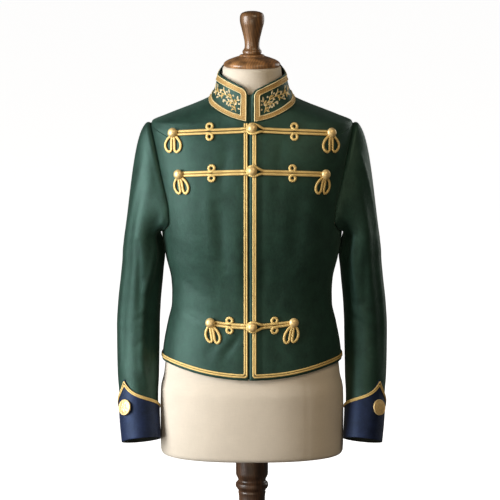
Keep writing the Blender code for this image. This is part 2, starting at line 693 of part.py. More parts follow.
def collar_point(angle, part, lift):
    """A point of the collar: part 0 is its foot on the neckline and part 1 its top edge."""
    foot_angle, foot_height = neck_line(angle)
    foot = skin(foot_angle, foot_height, np.zeros(np.shape(angle)))
    foot[..., 2] += COLLAR_FOOT_GAP
    across = np.sin(angle)
    ahead = np.cos(angle)
    depth = np.where(ahead > 0, COLLAR_TOP_FRONT_DEPTH, COLLAR_TOP_BACK_DEPTH)
    top_front = COLLAR_TOP_FRONT + (COLLAR_TOP_SIDE - COLLAR_TOP_FRONT) * np.abs(across)
    rise = smooth_step(0, COLLAR_TOP_BACK_FROM, -ahead)
    top_back = COLLAR_TOP_SIDE + (COLLAR_TOP_BACK - COLLAR_TOP_SIDE) * rise
    top = np.stack(
        (COLLAR_TOP_HALF_WIDTH * across, -depth * ahead, np.where(ahead > 0, top_front, top_back)), -1
    )
    out = np.stack((across, -ahead, np.zeros(np.shape(across))), -1)
    hollow = -COLLAR_HOLLOW * part * (1 - part) ** COLLAR_HOLLOW_FADE * np.abs(across)
    return foot + (top - foot) * part[..., None] + out * (hollow + lift)[..., None]


def collar_height(angle):
    """The collar's height along its slope at an angle."""
    flat = np.zeros(np.shape(angle))
    return np.linalg.norm(collar_point(angle, flat + 1, flat) - collar_point(angle, flat, flat), axis=-1)


def collar_angle(x):
    return np.arcsin(x / COLLAR_TOP_HALF_WIDTH)


def collar_corner(angle, part):
    """Round off the collar's upper front corners: the part of the way up, drawn down there."""
    x = COLLAR_TOP_HALF_WIDTH * np.sin(angle)
    middle = (COLLAR_END["left"] + COLLAR_END["right"]) / 2
    end = np.where(x > middle, COLLAR_END["left"], COLLAR_END["right"])
    beyond = np.clip(1 - np.abs(x - end) / COLLAR_CORNER, 0, 1)
    drop = COLLAR_CORNER / (COLLAR_TOP_FRONT - NECK_FRONT) * (1 - np.sqrt(1 - beyond ** 2))
    return part * np.where(np.cos(angle) > 0, 1 - drop, 1)


def collar_columns(left_margin, right_margin):
    """The collar's column angles, from its left end round the back to its right end."""
    low = collar_angle(COLLAR_END["left"] + np.array((0, left_margin)))
    high = 2 * math.pi + collar_angle(COLLAR_END["right"] - np.array((0, right_margin)))
    near = np.array(COLLAR_END_COLUMNS)
    middle = np.linspace(low[0] + COLLAR_MIDDLE_FROM, high[0] - COLLAR_MIDDLE_FROM, COLLAR_MIDDLE_COLUMNS)
    return np.concatenate((low[1] + near, middle, high[1] - near[::-1]))


def build_collar():
    """The standing collar, open at the centre front."""
    angle = collar_columns(0.0, 0.0)
    part = np.array(COLLAR_ROWS)
    around = np.repeat(angle[:, None], len(part), axis=1)
    up = collar_corner(around, np.repeat(part[None, :], len(angle), axis=0))
    points = collar_point(around, up, np.full(around.shape, -CLOTH))
    return thicken(grid_object("collar", "green wool", points), CLOTH)


def build_collar_lace():
    """The lace around the collar's edges: one closed frame, mitred at the front corners."""
    outer_along = collar_columns(LACE_END_RIM["left"], LACE_END_RIM["right"])
    leg = LACE_FRONT_LEG / COLLAR_TOP_FRONT_DEPTH
    inner_along = np.clip(outer_along, outer_along[0] + leg, outer_along[-1] - leg)
    angle = np.stack((outer_along, inner_along), axis=1)
    low = np.array((LACE_FOOT_RIM, LACE_FOOT_RIM + LACE_BOTTOM_LEG)) / collar_height(angle)
    high = 1 - np.array((LACE_RIM, LACE_RIM + LACE_TOP_LEG)) / collar_height(angle)
    angle = np.concatenate((angle, angle[::-1], angle[:1]))
    part = np.concatenate((low, high[::-1], low[:1]))
    points = collar_point(angle, collar_corner(angle, part), np.full(angle.shape, LACE_LIFT))
    return thicken(grid_object("collar_lace", "gold braid", points, closed=True), BRAID_THICK)


def build_edge_braid(side):
    """The braid down one front edge, round its lower corner and along the hem to the centre back."""
    sign = 1.0 if side == "left" else -1.0
    edge_x = sign * BRAID_EDGE[side]
    width = BRAID_WIDTH
    inner_x = edge_x + width
    low_angle = float(angle_at(edge_x, np.array(HEM_SIDE)))
    corner_outer = float(hem_height(np.array(low_angle))) + BRAID_HEM_MARGIN
    corner_inner = corner_outer + width
    top = NECK_FRONT - BRAID_BELOW_NECK
    drop = np.linspace(0, 1, BRAID_FRONT_ROWS + 1)[:-1]
    outer_height = top + drop * (corner_outer - top)
    inner_height = top + drop * (corner_inner - top)
    start_outer = float(angle_at(edge_x, np.array(corner_outer)))
    start_inner = float(angle_at(inner_x, np.array(corner_inner)))
    stop = math.pi - SEAM_GAP / 2 / BACK_WIDEST
    along_outer = np.linspace(start_outer, stop, BRAID_HEM_ROWS)
    along_inner = np.linspace(start_inner, stop, BRAID_HEM_ROWS)
    outer = np.stack((
        np.concatenate((angle_at(edge_x, outer_height), along_outer)),
        np.concatenate((outer_height, hem_height(along_outer) + BRAID_HEM_MARGIN)),
    ))
    inner = np.stack((
        np.concatenate((angle_at(inner_x, inner_height), along_inner)),
        np.concatenate((inner_height, hem_height(along_inner) + BRAID_HEM_MARGIN + width)),
    ))
    angle, height = np.stack((outer, inner), -1)
    points = skin(angle, height, np.full(angle.shape, TRIM_LIFT))
    if sign < 0:
        points[:, :, 0] *= -1
        points = points[::-1]
    return thicken(grid_object("edge_braid_" + side, "gold braid", points), BRAID_THICK)


def arc(centre, radius, start, end, count):
    """Points of a circle's arc in a plane; angles in degrees."""
    turn = np.radians(np.linspace(start, end, count))
    return [(centre[0] + radius * math.cos(t), centre[1] + radius * math.sin(t)) for t in turn]


def knot_points(knob, lean, side, outline):
    """A stretch of the hanging knot, on one side (1 outward) of its leaning middle line."""
    return [(knob + (side * across - lean * down) * MM, -down * MM) for across, down in outline]


def frog_outline(start, eyelet, knob, ring, lean):
    """Half a frog as a flat shape: the bar with an eyelet above and below, and the hanging knot.

    The first list is the outline and the others are holes; x runs outward and y up, from the
    centre line of the opening and the middle of the bar.
    """
    half = FROG_HALF_HEIGHT
    swing = math.degrees(math.asin((EYELET_OFFSET - half) / ring))
    gap = ring * math.cos(math.radians(swing))
    clear = FROG_RAMP_INNER
    inner_run = np.linspace(clear, eyelet - gap, max(1, round((eyelet - gap - clear) / FROG_STEP)) + 1)
    inner_run = np.concatenate(([start], inner_run))
    outer_end = knob - FROG_END_CLEAR
    outer_run = np.linspace(eyelet + gap, outer_end, max(1, round((outer_end - eyelet) / FROG_STEP)) + 1)
    lower = [(x, -half) for x in inner_run[:-1]]
    lower += arc((eyelet, -EYELET_OFFSET), ring, 180 - swing, 360 + swing, 8)
    lower += [(x, -half) for x in outer_run[1:-1]]
    near = knot_points(knob, lean, -1, KNOT_SIDE)
    notch = knot_points(knob, lean, 1, [(0.0, KNOT_NOTCH)])
    far = knot_points(knob, lean, 1, KNOT_SIDE[::-1])
    end = [(knob + FROG_END_TIP, 0.0), (knob + FROG_END_SHOULDER, half), (knob - FROG_END_SHOULDER, half)]
    upper = [(x, half) for x in outer_run[1:-1][::-1]]
    upper += arc((eyelet, EYELET_OFFSET), ring, -swing, 180 + swing, 8)
    upper += [(x, half) for x in inner_run[:-1][::-1]]
    outline = lower + near + notch + far + end + upper
    holes = [arc((eyelet, place), EYELET_HOLE, 0, 300, 6) for place in (-EYELET_OFFSET, EYELET_OFFSET)]
    holes += [knot_points(knob, lean, way, KNOT_SIDE_SLOT) for way in (-1, 1)]
    middle = knot_points(knob, lean, 1, KNOT_MIDDLE_SLOT)
    middle += knot_points(knob, lean, -1, KNOT_MIDDLE_SLOT[-2:0:-1])
    return [outline] + holes + [middle]


def flat_net(loops):
    """Triangles that fill the first loop and leave the others open, as points and corner lists."""
    scale = 1000.0
    corners = [Vector((x * scale, y * scale)) for loop in loops for x, y in loop]
    faces = []
    for loop in loops:
        first = sum(len(face) for face in faces)
        faces.append(list(range(first, first + len(loop))))
    inside_only = 2
    points, _, triangles = delaunay_2d_cdt(corners, [], faces, inside_only, 1e-4)[:3]
    return np.array([point / scale for point in points]), triangles


def build_frog(row, side):
    """Half a frog laid on one front: a flat cord shape bent to the skin."""
    name, _, eyelet, knob, _, _, ring, lean = row
    sign = 1.0 if side == "left" else -1.0
    flat, triangles = flat_net(frog_outline(FROG_START[side], eyelet * MM, knob * MM, ring * MM, lean))
    points = frog_points(flat, row)
    if sign < 0:
        points[:, 0] *= -1
        triangles = [triangle[::-1] for triangle in triangles]
    mesh = bpy.data.meshes.new("frog_" + name + "_" + side)
    mesh.from_pydata(points.tolist(), [], triangles)
    return thicken(add_object("frog_" + name + "_" + side, "gold braid", mesh), FROG_THICK)


def frog_lift(x):
    """The frog lies on the cloth, and climbs over the edge braid near the centre."""
    return TRIM_LIFT + FROG_OVER_BRAID * (1 - smooth_step(FROG_RAMP_INNER, FROG_RAMP_OUTER, x))


def frog_points(local, row):
    """Flat frog points (out, up) on the skin of the wearer's left front."""
    _, height, _, knob, knob_rise, _, _, _ = row
    x = local[:, 0]
    z = height * MM + knob_rise * MM * (np.clip(x, 0, knob * MM) / (knob * MM)) ** 2 + local[:, 1]
    return skin(angle_at(x, z), z, frog_lift(x))


def build_frog_buttons(row):
    """The centre button and the two end knobs of one row."""
    name, centre, _, knob, knob_rise, button_height, _, _ = row
    lift = frog_lift(0.0) + FROG_THICK + BUTTON_SEAT
    angle = angle_at(np.array(BUTTON_MIDDLE), np.array(button_height * MM))
    place = skin(angle, np.array(button_height * MM), np.array(lift))
    button = turned("button_" + name, "gilt metal", CENTRE_BUTTON, 14)
    stand_on(button, place, section_normal(angle, np.array(button_height * MM)))
    for side, sign in (("left", 1.0), ("right", -1.0)):
        height = np.array((centre + knob_rise) * MM)
        angle = angle_at(np.array(sign * knob * MM), height)
        lift = TRIM_LIFT + FROG_THICK + KNOB_SEAT
        piece = turned("knob_" + name + "_" + side, "gilt metal", END_KNOB, 12)
        stand_on(piece, skin(angle, height, np.array(lift)), section_normal(angle, height))


def build_cuff_button(side):
    """The round gilt button under the cuff's point."""
    lift = CUFF_LIFT + CLOTH + CUFF_BUTTON_LIFT
    height = np.array(CUFF_BUTTON_HEIGHT)
    turn = np.array(CUFF_POINT_ANGLE)
    place = sleeve_ring(turn, height, np.array(lift))
    out = place - sleeve_ring(turn, height, np.array(0.0))
    sign = np.array((1.0 if side == "left" else -1.0, 1.0, 1.0))
    piece = turned("cuff_button_" + side, "gilt metal", CUFF_BUTTON, 16)
    return stand_on(piece, place * sign, out * sign)


def start_scene():
    """Empty the scene, and make the collection and the materials."""
    for old in list(bpy.data.objects):
        bpy.data.objects.remove(old)
    collection = bpy.data.collections.new(COLLECTION)
    bpy.context.scene.collection.children.link(collection)
    for name, colour, roughness, metallic in LOOKS:
        material = bpy.data.materials.new(name)
        material.use_nodes = True
        shader = material.node_tree.nodes["Principled BSDF"]
        shader.inputs["Base Color"].default_value = (*colour, 1)
        shader.inputs["Roughness"].default_value = roughness
        shader.inputs["Metallic"].default_value = metallic


def main():
    start_scene()
    build_form()
    build_stand()
    build_back()
    build_underlap()
    build_collar()
    build_collar_lace()
    for side in ("right", "left"):
        build_front(side)
        build_sleeve(side)
        build_cuff(side)
        build_cuff_braid(side)
        build_cuff_button(side)
        build_edge_braid(side)
        for row in FROGS:
            build_frog(row, side)
    for row in FROGS:
        build_frog_buttons(row)


main()
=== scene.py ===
"""The finished surfaces of a hussar jacket on a limbless dress form, and the studio round it.

Metres, +Z up.  The jacket faces -Y, and the wearer's left side is at +X.  Tables are in mm.
Each surface is a grid of points worked out from two parameters, placed in the mesh itself.
"""

import math

import bmesh
import bpy
import numpy as np
from bpy.props import FloatProperty, FloatVectorProperty, PointerProperty
from mathutils import Matrix


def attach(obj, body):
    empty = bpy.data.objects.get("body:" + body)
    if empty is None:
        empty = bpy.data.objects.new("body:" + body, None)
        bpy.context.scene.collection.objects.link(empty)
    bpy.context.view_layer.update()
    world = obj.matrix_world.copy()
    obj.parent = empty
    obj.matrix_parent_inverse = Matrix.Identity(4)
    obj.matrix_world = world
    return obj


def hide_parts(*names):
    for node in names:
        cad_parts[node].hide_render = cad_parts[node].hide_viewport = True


bl_info = {
    "name": "Hussar jacket on a dress form",
    "version": (1, 0, 0),
    "blender": (4, 5, 0),
    "location": "3D View > Sidebar > Jacket",
    "description": "Builds a braided jacket, its dress form and its studio as finished surfaces",
    "category": "Object",
}

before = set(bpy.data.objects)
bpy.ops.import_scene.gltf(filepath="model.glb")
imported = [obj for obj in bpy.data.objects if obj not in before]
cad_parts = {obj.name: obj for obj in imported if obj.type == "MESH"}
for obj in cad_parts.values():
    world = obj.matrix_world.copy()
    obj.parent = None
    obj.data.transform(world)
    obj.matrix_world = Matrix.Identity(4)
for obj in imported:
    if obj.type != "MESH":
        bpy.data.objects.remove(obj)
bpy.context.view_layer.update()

MM = 0.001
TAU = 2 * math.pi

# The jacket's skin down to its hem, and below it the hips of the form.
# Height, half width, front depth, back depth, and squareness.
SKIN = (
    (300, 183.0, 119.0, 113.0, 2.3),
    (330, 184.0, 122.0, 115.0, 2.3),
    (400, 184.0, 125.0, 118.0, 2.3),
    (440, 183.0, 126.0, 118.0, 2.3),
    (470, 182.0, 126.0, 117.0, 2.3),
    (494, 180.0, 124.0, 113.0, 2.3),
    (520, 177.5, 121.0, 108.0, 2.3),
    (568, 168.5, 116.0, 99.0, 2.3),
    (605, 160.5, 113.0, 94.0, 2.3),
    (629, 160.0, 113.0, 93.0, 2.3),
    (654, 161.5, 114.5, 95.0, 2.3),
    (702, 172.5, 120.0, 102.0, 2.3),
    (750, 180.0, 125.0, 110.0, 2.35),
    (800, 184.0, 127.0, 116.0, 2.4),
    (850, 189.0, 125.0, 120.0, 2.4),
    (898, 195.5, 117.0, 119.0, 2.35),
    (935, 199.5, 105.0, 111.0, 2.3),
    (958, 201.0, 94.0, 100.0, 2.25),
    (970, 199.0, 87.0, 92.0, 2.2),
    (982, 173.0, 82.0, 86.0, 2.2),
    (994, 143.0, 78.0, 80.0, 2.15),
    (1006, 112.0, 74.5, 74.0, 2.1),
    (1018, 86.0, 71.5, 68.0, 2.1),
    (1028, 74.0, 69.5, 64.0, 2.05),
    (1042, 66.0, 66.0, 60.0, 2.0),
    (1060, 59.5, 62.0, 56.0, 2.0),
    (1078, 57.5, 60.5, 54.5, 2.0),
)

# How far the form lies under the skin: height and depth.
FORM_INSET = (
    (300, 0.0), (430, 0.0), (465, 6.0), (494, 7.0), (545, 5.5), (575, 4.8), (605, 4.4),
    (640, 4.6), (700, 5.0), (900, 5.5), (935, 7.2), (975, 7.5), (992, 4.8), (1006, 3.7),
    (1018, 3.7), (1028, 3.0), (1042, 1.2), (1060, 0.0), (1078, 0.0),
)

# The sleeve below its head: height, centre outward, centre back, half width, half depth,
# and how many degrees the section tips up at the front.
SLEEVE = (
    (738, 218.3, 5.0, 37.2, 64.0, 0.0),
    (702, 216.7, 8.0, 42.2, 63.0, 0.0),
    (660, 219.9, 12.0, 42.5, 61.0, 0.0),
    (605, 225.6, 15.0, 42.9, 57.0, 1.0),
    (555, 228.2, 13.0, 43.2, 54.0, 4.0),
    (507, 228.4, 5.0, 42.6, 51.0, 8.5),
    (458, 228.0, -7.0, 41.5, 48.0, 12.5),
    (430, 227.5, -14.0, 39.6, 44.8, 14.0),
    (410, 226.8, -20.0, 38.8, 43.6, 14.8),
    (365, 224.5, -32.0, 38.1, 41.6, 16.2),
    (326, 221.5, -41.0, 37.1, 41.1, 17.0),
)

# Soft ridges and troughs of the cloth, each along one line: its two ends, its half width and its
# height, which is below zero in a trough.  On the body the ends are across and up.
FRONT_FOLDS = (
    (-47, 930, -64, 850, 11.0, -1.3),
    (-66, 815, -58, 690, 12.0, -2.4),
    (-88, 840, -82, 720, 13.0, 1.5),
    (-31, 790, -29, 650, 15.0, 1.4),
    (-14, 760, -13, 640, 9.0, -0.8),
    (-122, 835, -118, 700, 24.0, 1.3),
    (-22, 560, -54, 518, 8.5, -2.3),
    (-36, 560, -72, 512, 11.0, 1.2),
    (-66, 552, -88, 516, 10.0, -0.9),
    (-158, 601, -90, 577, 1.8, -0.9),
    (-150, 592, -98, 568, 8.0, 0.7),
    (-152, 890, -160, 820, 8.0, -1.0),
    (-74, 672, -70, 622, 10.0, -0.7),
    (-134, 660, -96, 632, 9.0, -0.7),
    (61, 946, 53, 898, 9.0, -1.4),
    (30, 945, 36, 760, 15.0, 0.9),
    (27, 705, 24, 655, 9.0, -1.1),
    (92, 835, 84, 700, 15.0, -1.6),
    (60, 850, 56, 720, 14.0, 1.2),
    (124, 850, 121, 720, 20.0, 1.0),
    (98, 592, 140, 585, 1.8, -0.5),
    (64, 640, 60, 600, 11.0, 0.7),
    (150, 880, 158, 815, 8.0, -0.9),
    (96, 545, 110, 512, 12.0, -0.8),
    (40, 548, 62, 512, 10.0, -0.7),
)
BACK_FOLDS = (
    (-62, 905, -44, 660, 22.0, -1.5),
    (66, 890, 47, 675, 20.0, -1.3),
    (-8, 860, 4, 700, 17.0, 0.9),
    (-128, 648, -38, 618, 9.0, -0.9),
    (121, 655, 46, 630, 8.0, -0.8),
    (-92, 560, -99, 500, 14.0, 0.9),
    (84, 552, 93, 497, 13.0, -0.9),
    (-24, 570, -18, 505, 11.0, -0.7),
    (128, 868, 146, 800, 10.0, -1.1),
    (-133, 860, -149, 792, 9.0, -1.0),
)
# On a sleeve the ends are a turn in degrees, 0 outward and 90 to the front, and a height.
SLEEVE_FOLDS = {
    "right": (
        (36, 880, 31, 480, 7.0, 1.7),
        (54, 850, 49, 500, 8.0, -1.3),
        (75, 730, 92, 600, 8.0, -2.4),
        (130, 912, 127, 716, 7.0, 2.8),
        (129, 735, 106, 636, 7.5, 3.0),
        (106, 650, 103, 470, 8.0, 2.6),
        (104, 490, 122, 425, 8.0, 1.8),
        (151, 900, 148, 700, 9.5, -3.4),
        (148, 715, 127, 620, 9.0, -2.8),
        (125, 640, 121, 470, 10.0, -2.2),
        (84, 575, 134, 600, 6.0, -1.2),
        (80, 520, 128, 548, 6.0, -1.0),
        (178, 758, 180, 698, 12.0, 2.1),
        (196, 700, 214, 560, 14.0, -1.8),
        (262, 650, 312, 612, 9.0, -1.5),
        (246, 560, 300, 540, 8.0, 1.1),
        (70, 900, 88, 830, 9.0, -1.3),
        (300, 900, 280, 800, 11.0, -1.5),
        (340, 760, 346, 560, 12.0, 1.1),
    ),
    "left": (
        (33, 910, 30, 760, 4.5, 2.4),
        (31, 775, 35, 480, 6.0, 1.8),
        (52, 870, 48, 520, 9.0, -1.9),
        (77, 705, 90, 610, 9.0, -2.1),
        (118, 900, 116, 720, 8.0, 1.8),
        (117, 740, 108, 620, 8.0, 2.2),
        (140, 890, 136, 700, 9.0, -2.6),
        (112, 600, 102, 480, 12.0, -1.6),
        (82, 560, 132, 582, 6.5, -1.2),
        (82, 505, 126, 530, 7.0, -1.0),
        (178, 758, 180, 698, 12.0, 2.1),
        (198, 690, 212, 570, 13.0, -1.7),
        (258, 640, 308, 600, 9.0, -1.4),
        (250, 552, 298, 530, 8.0, 1.0),
        (72, 890, 86, 835, 9.0, -1.0),
        (296, 890, 282, 805, 11.0, -1.4),
    ),
}

HEM_SIDE = 493.0 * MM
HEM_FRONT_DROP = 24.0 * MM
HEM_BACK_DROP = 12.0 * MM
NECK_FRONT = 975.5 * MM
NECK_SIDE = 1020.5 * MM
NECK_BACK = 1024.0 * MM
# The front neckline: its turn from the centre to the shoulder in degrees, then its distance from
# the middle and its height.
NECK_LINE = (
    (0, 0.0, 975.5), (7, 8.4, 976.2), (14, 17.6, 978.3), (26, 34.5, 983.0), (40, 54.0, 991.2),
    (54, 71.0, 1000.6), (68, 81.6, 1008.6), (80, 84.4, 1014.8), (86, 83.8, 1018.2), (90, 82.3, 1020.5),
)
LAP_RISE = 2.4 * MM
LAP_INNER = 20.0 * MM
LAP_OUTER = 60.0 * MM
SEAM_GAP = 0.3 * MM

ARMHOLE_CENTRE = 858.5 * MM
ARMHOLE_HALF_HEIGHT = 107.5 * MM
# How far the armhole reaches to the front or back of the side, by its turn from the top to the
# foot: both in degrees.
ARMHOLE_REACH = (
    (0, 0.0), (26, 8.6), (58, 17.6), (90, 23.0), (123, 28.6), (141, 28.2), (156, 21.0), (180, 0.0),
)

# Where each front's edge and its braid's outer edge stand from the middle, and the braid's margin above the
# hem.
FRONT_EDGE = {"right": -8.0 * MM, "left": -5.0 * MM}
BRAID_EDGE = {"right": -8.4 * MM, "left": 0.8 * MM}
BRAID_HEM_MARGIN = 4.5 * MM

UNDERLAP_MIDDLE = -6.0 * MM
UNDERLAP_HALF_WIDTH = 17.0 * MM
UNDERLAP_TOP = 1030.0 * MM
UNDERLAP_UNDER_SKIN = 1.4 * MM
UNDERLAP_BEHIND_COLLAR = 1.2 * MM
UNDERLAP_LEAVES_BODY = 970.0 * MM
UNDERLAP_IN_COLLAR = 1000.0 * MM

COLLAR_TOP_FRONT = 1037.0 * MM
COLLAR_TOP_SIDE = 1066.0 * MM
COLLAR_TOP_BACK = 1085.5 * MM
COLLAR_TOP_BACK_FROM = 0.8
COLLAR_TOP_HALF_WIDTH = 66.3 * MM
COLLAR_TOP_FRONT_DEPTH = 75.0 * MM
COLLAR_TOP_BACK_DEPTH = 65.0 * MM
COLLAR_END = {"right": -8.5 * MM, "left": -1.0 * MM}
COLLAR_FOOT_GAP = 0.9 * MM
COLLAR_HOLLOW = 18.0 * MM
COLLAR_HOLLOW_FADE = 2
COLLAR_CORNER = 12.0 * MM
COLLAR_RADIUS = 75.0 * MM
LACE_FRONT_LEG = 12.0 * MM
LACE_TOP_LEG = 11.5 * MM
LACE_BOTTOM_LEG = 9.5 * MM
LACE_RIM = 3.0 * MM
LACE_FOOT_RIM = 0.4 * MM
LACE_END_RIM = {"right": 2.0 * MM, "left": 5.2 * MM}
# The radii of the lace's upper front corners, on its outer and its inner edge.
LACE_CORNERS = (9.0 * MM, 3.5 * MM)

# The left front's edge is rolled: how high, how far from the middle it is full, and where it eases.
EDGE_ROLL = 2.2 * MM
EDGE_ROLL_FULL = 0.5 * MM
EDGE_ROLL_EASE = (9.0 * MM, 22.0 * MM)

# The head's fullness at the shoulder: how far it stands out and up there, and how far its outer
# side leans in from the arm.
CROWN_OUT = 8.5 * MM
CROWN_UP = 12.0 * MM
CROWN_LEAN = 14.5 * MM
# A rough radius in mm, only for lengths round a sleeve, and the turns of its two seams.
SLEEVE_RADIUS = 45
SLEEVE_SEAMS = (math.radians(136), math.radians(236))
SLEEVE_END = 335.5 * MM
CUFF_END = 331.5 * MM
CUFF_SLANT = 4.0 * MM
CUFF_TOP = 413.0 * MM
CUFF_POINT_RISE = 34.0 * MM
CUFF_POINT_SPREAD = math.radians(22.0)
CUFF_POINT_ANGLE = math.radians(50.5)
# The edge also sinks from its point to the back of the arm, within these turns on the outer and
# the inner side.
CUFF_TOP_SINK = 12.0 * MM
CUFF_SINK_OUTER = math.radians(60.0)
CUFF_SINK_INNER = math.radians(126.0)
CUFF_RADIUS = 42.0 * MM
CUFF_BUTTON_HEIGHT = 392.0 * MM
# The cuff's skin over the sleeve's at the default cloth, and the middle of its braid over that.
CUFF_SKIN = 2.6 * MM
CUFF_BRAID_LIFT = 0.8 * MM
# The lift of each kind of button's foot: the first two from the jacket's skin, the last from
# the sleeve's skin, which lies under the cuff.
CENTRE_BUTTON_LIFT = 5.9 * MM
END_KNOB_LIFT = 4.1 * MM
CUFF_BUTTON_LIFT = 3.9 * MM

# One row of braid: its height at the centre, the distance out to its eyelets and to its end knob,
# how far the knob end stands above the centre, the height of its centre button, the half width of
# its hanging knot, how far that hangs below the knob, and how far it leans toward the centre as a
# share of the way down.
FROGS = (
    ("chest", 960.0, 83.0, 154.5, -7.0, 961.5, 15.0, 36.0, 0.0),
    ("breast", 881.5, 79.0, 142.5, -7.0, 884.0, 13.4, 37.5, 0.18),
    ("waist", 575.0, 44.0, 81.0, 5.4, 574.0, 13.6, 37.5, 0.16),
)
# The path of a cord round an eyelet, from the eyelet's middle: across, up and lift.
EYELET_PATH = (
    (-15, 2.85, 0.0), (-9, 2.85, 0.0), (-3.5, 3.0, 0.0), (1.6, 4.1, 0.0), (4.9, 7.2, 0.0),
    (5.2, 11.2, 0.0), (2.3, 14.4, 0.0), (-2.3, 14.4, 0.0), (-5.2, 11.2, 0.0), (-4.9, 7.2, 0.4),
    (-1.6, 4.1, 1.0), (3.5, 3.0, 0.7), (9, 2.85, 0.0), (15, 2.85, 0.0),
)
# The path of one hanging loop: shares of the knot's half width and of its hang, and lift in mm.
LOOP_PATH = (
    (0.10, 0.02, 0.2), (-0.35, 0.18, 0.4), (-0.80, 0.40, 0.0), (-1.0, 0.64, 0.0), (-0.88, 0.87, 0.0),
    (-0.50, 1.0, 0.0), (-0.22, 0.90, 0.0), (-0.19, 0.66, 0.0), (-0.18, 0.40, 0.2), (-0.08, 0.18, 0.9),
    (0.0, 0.03, 0.9),
)
# The loop of the buttoning cord round its button, from the button's middle: across and up.
BUTTON_LOOP = ((-9.4, 0.0), (-7.6, 5.6), (-1.5, 9.0), (6.0, 8.2), (12.5, 5.4), (19.0, 3.2), (26.0, 2.75))

# Turned outlines from the top at the axis down the outer side: radius and height.
CENTRE_BUTTON = (
    (0, 7.6), (2.8, 7.4), (5.6, 6.3), (7.6, 4.5), (8.4, 3.0), (8.8, 2.4), (9.25, 2.0), (9.3, 1.2),
    (9.1, 0.4), (8.7, 0.0), (0, 0.0),
)
END_KNOB = (
    (0, 9.0), (3, 8.7), (6.2, 7.4), (8.6, 5.0), (9.6, 3.0), (9.8, 1.6), (9.2, 0.3), (8.0, 0.0), (0, 0.0),
)
CUFF_BUTTON = (
    (0, 4.4), (5, 4.3), (10, 3.9), (12.6, 3.3), (13.3, 3.2), (14.0, 3.7), (15.1, 3.6), (15.9, 2.6),
    (16.0, 1.4), (15.2, 0.2), (14, 0.0), (0, 0.0),
)
FINIAL = (
    (0, 1189), (7, 1188.7), (14, 1187.4), (19, 1185.6), (22.3, 1182.6), (24, 1178), (24.3, 1172),
    (23.6, 1165), (21.8, 1158), (18.8, 1146), (16.4, 1136), (14.9, 1127), (14.5, 1120), (15.2, 1115.4),
    (16.8, 1112.4),
    (18.3, 1110.8), (19.1, 1108.6), (18.9, 1106.2), (17.9, 1104.4), (17.0, 1103.7), (0, 1103.7),
)
NECK_CAP = (
    (0, 1103.4), (17.5, 1103.4), (20.4, 1103.0), (23.0, 1102.2), (24.6, 1101.2), (25.0, 1100.2),
    (26.6, 1099.4), (33, 1097.4), (44, 1093.4), (49.5, 1090.8), (53.6, 1088.0), (55.9, 1085.2),
    (56.5, 1082.9), (56.0, 1080.8), (55.0, 1079.2), (53.8, 1078.3), (0, 1078.3),
)
POLE = (
    (0, 299.7), (30, 299.7), (31.8, 298.2), (32.4, 295), (32.5, 275), (32.5, 257), (32.1, 253), (30.6, 249),
    (28.4, 245), (27.8, 242), (28.8, 239.4), (31.4, 237), (33, 233.6), (33, 230), (31.2, 226), (28.4, 222.6),
    (27.3, 220), (27.7, 216.4), (27, 212.6), (26.4, 206), (26.2, 120), (26.4, 52), (28, 47.5), (30.6, 44.2),
    (31.2, 41.4), (30.4, 38.8), (29, 38.3), (0, 38.3),
)
BASE = (
    (0, 38), (36, 38), (42, 37.6), (49, 36), (60, 33.4), (80, 30.8), (100, 29), (122, 27.6), (137, 26),
    (143, 23.8), (147, 20.6), (149.4, 16.5), (150, 12), (150, 4), (149.2, 1.4), (147, 0), (0, 0),
)

# The stalks of the spray on each side of the collar: width, how far apart its leaves stand, their
# length, and its path: round the collar from the middle between the laces, and up from its foot.
SPRAY_STALKS = (
    (1.9, 6.6, 8.4, (
        (28.8, 13.0), (31.5, 22.0), (35, 30), (42, 35), (55, 36), (73, 31.5), (89, 28), (98, 29.5),
    )),
    (1.4, 5.4, 7.6, ((33.0, 25.5), (29.5, 33.0), (28.3, 38.0))),
    (1.4, 5.4, 7.6, ((41.0, 34.5), (45.0, 41.0), (46.5, 44.0))),
    (1.4, 5.0, 7.4, ((33.5, 26.0), (41.0, 28.0), (48.0, 25.0), (52.0, 24.5))),
    (1.3, 4.6, 6.0, ((30.0, 16.0), (35.5, 16.5), (39.0, 19.5))),
    (1.3, 5.0, 6.6, ((57.0, 36.0), (60.0, 40.0), (61.0, 42.0))),
    (1.3, 5.0, 7.0, ((62.0, 34.5), (67.0, 26.5), (72.0, 22.5))),
    (1.4, 5.2, 7.2, ((75.0, 31.0), (80.0, 35.0), (83.0, 37.5))),
    (1.4, 5.0, 7.0, ((80.0, 30.0), (86.5, 24.0), (91.0, 21.5))),
)
# Round buds, by the same two measures.
SPRAY_BUDS = (
    (24.0, 30.5), (23.8, 20.5), (37.5, 42.0), (52.5, 43.0), (68.5, 38.5), (57.0, 21.0), (45.0, 19.5),
    (97.0, 36.5),
)


class HussarSizes(bpy.types.PropertyGroup):
    """Sizes of the finish that a user may change."""

    cloth: FloatProperty(name="Cloth", description="Thickness of the wool", default=2.0 * MM, unit="LENGTH")
    folds: FloatProperty(name="Folds", description="Strength of the cloth's folds", default=1.0, min=0, max=2)
    bar_cord: FloatProperty(
        name="Frog cord", description="Width of the frogs' cord", default=5.3 * MM, unit="LENGTH"
    )
    edge_cord: FloatProperty(
        name="Edge cord", description="Width of each cord of the edge braid", default=3.6 * MM, unit="LENGTH"
    )
    cuff_cord: FloatProperty(
        name="Cuff cord", description="Width of each cord of the cuff braid", default=3.0 * MM, unit="LENGTH"
    )
    lay: FloatProperty(
        name="Twist", description="Length of one turn of a cord's strands", default=10.5 * MM, unit="LENGTH"
    )


def colour_property(name, words, colour):
    """A colour setting with its default in linear light."""
    return FloatVectorProperty(
        name=name, description=words, subtype="COLOR", size=3, min=0, max=1, default=colour
    )


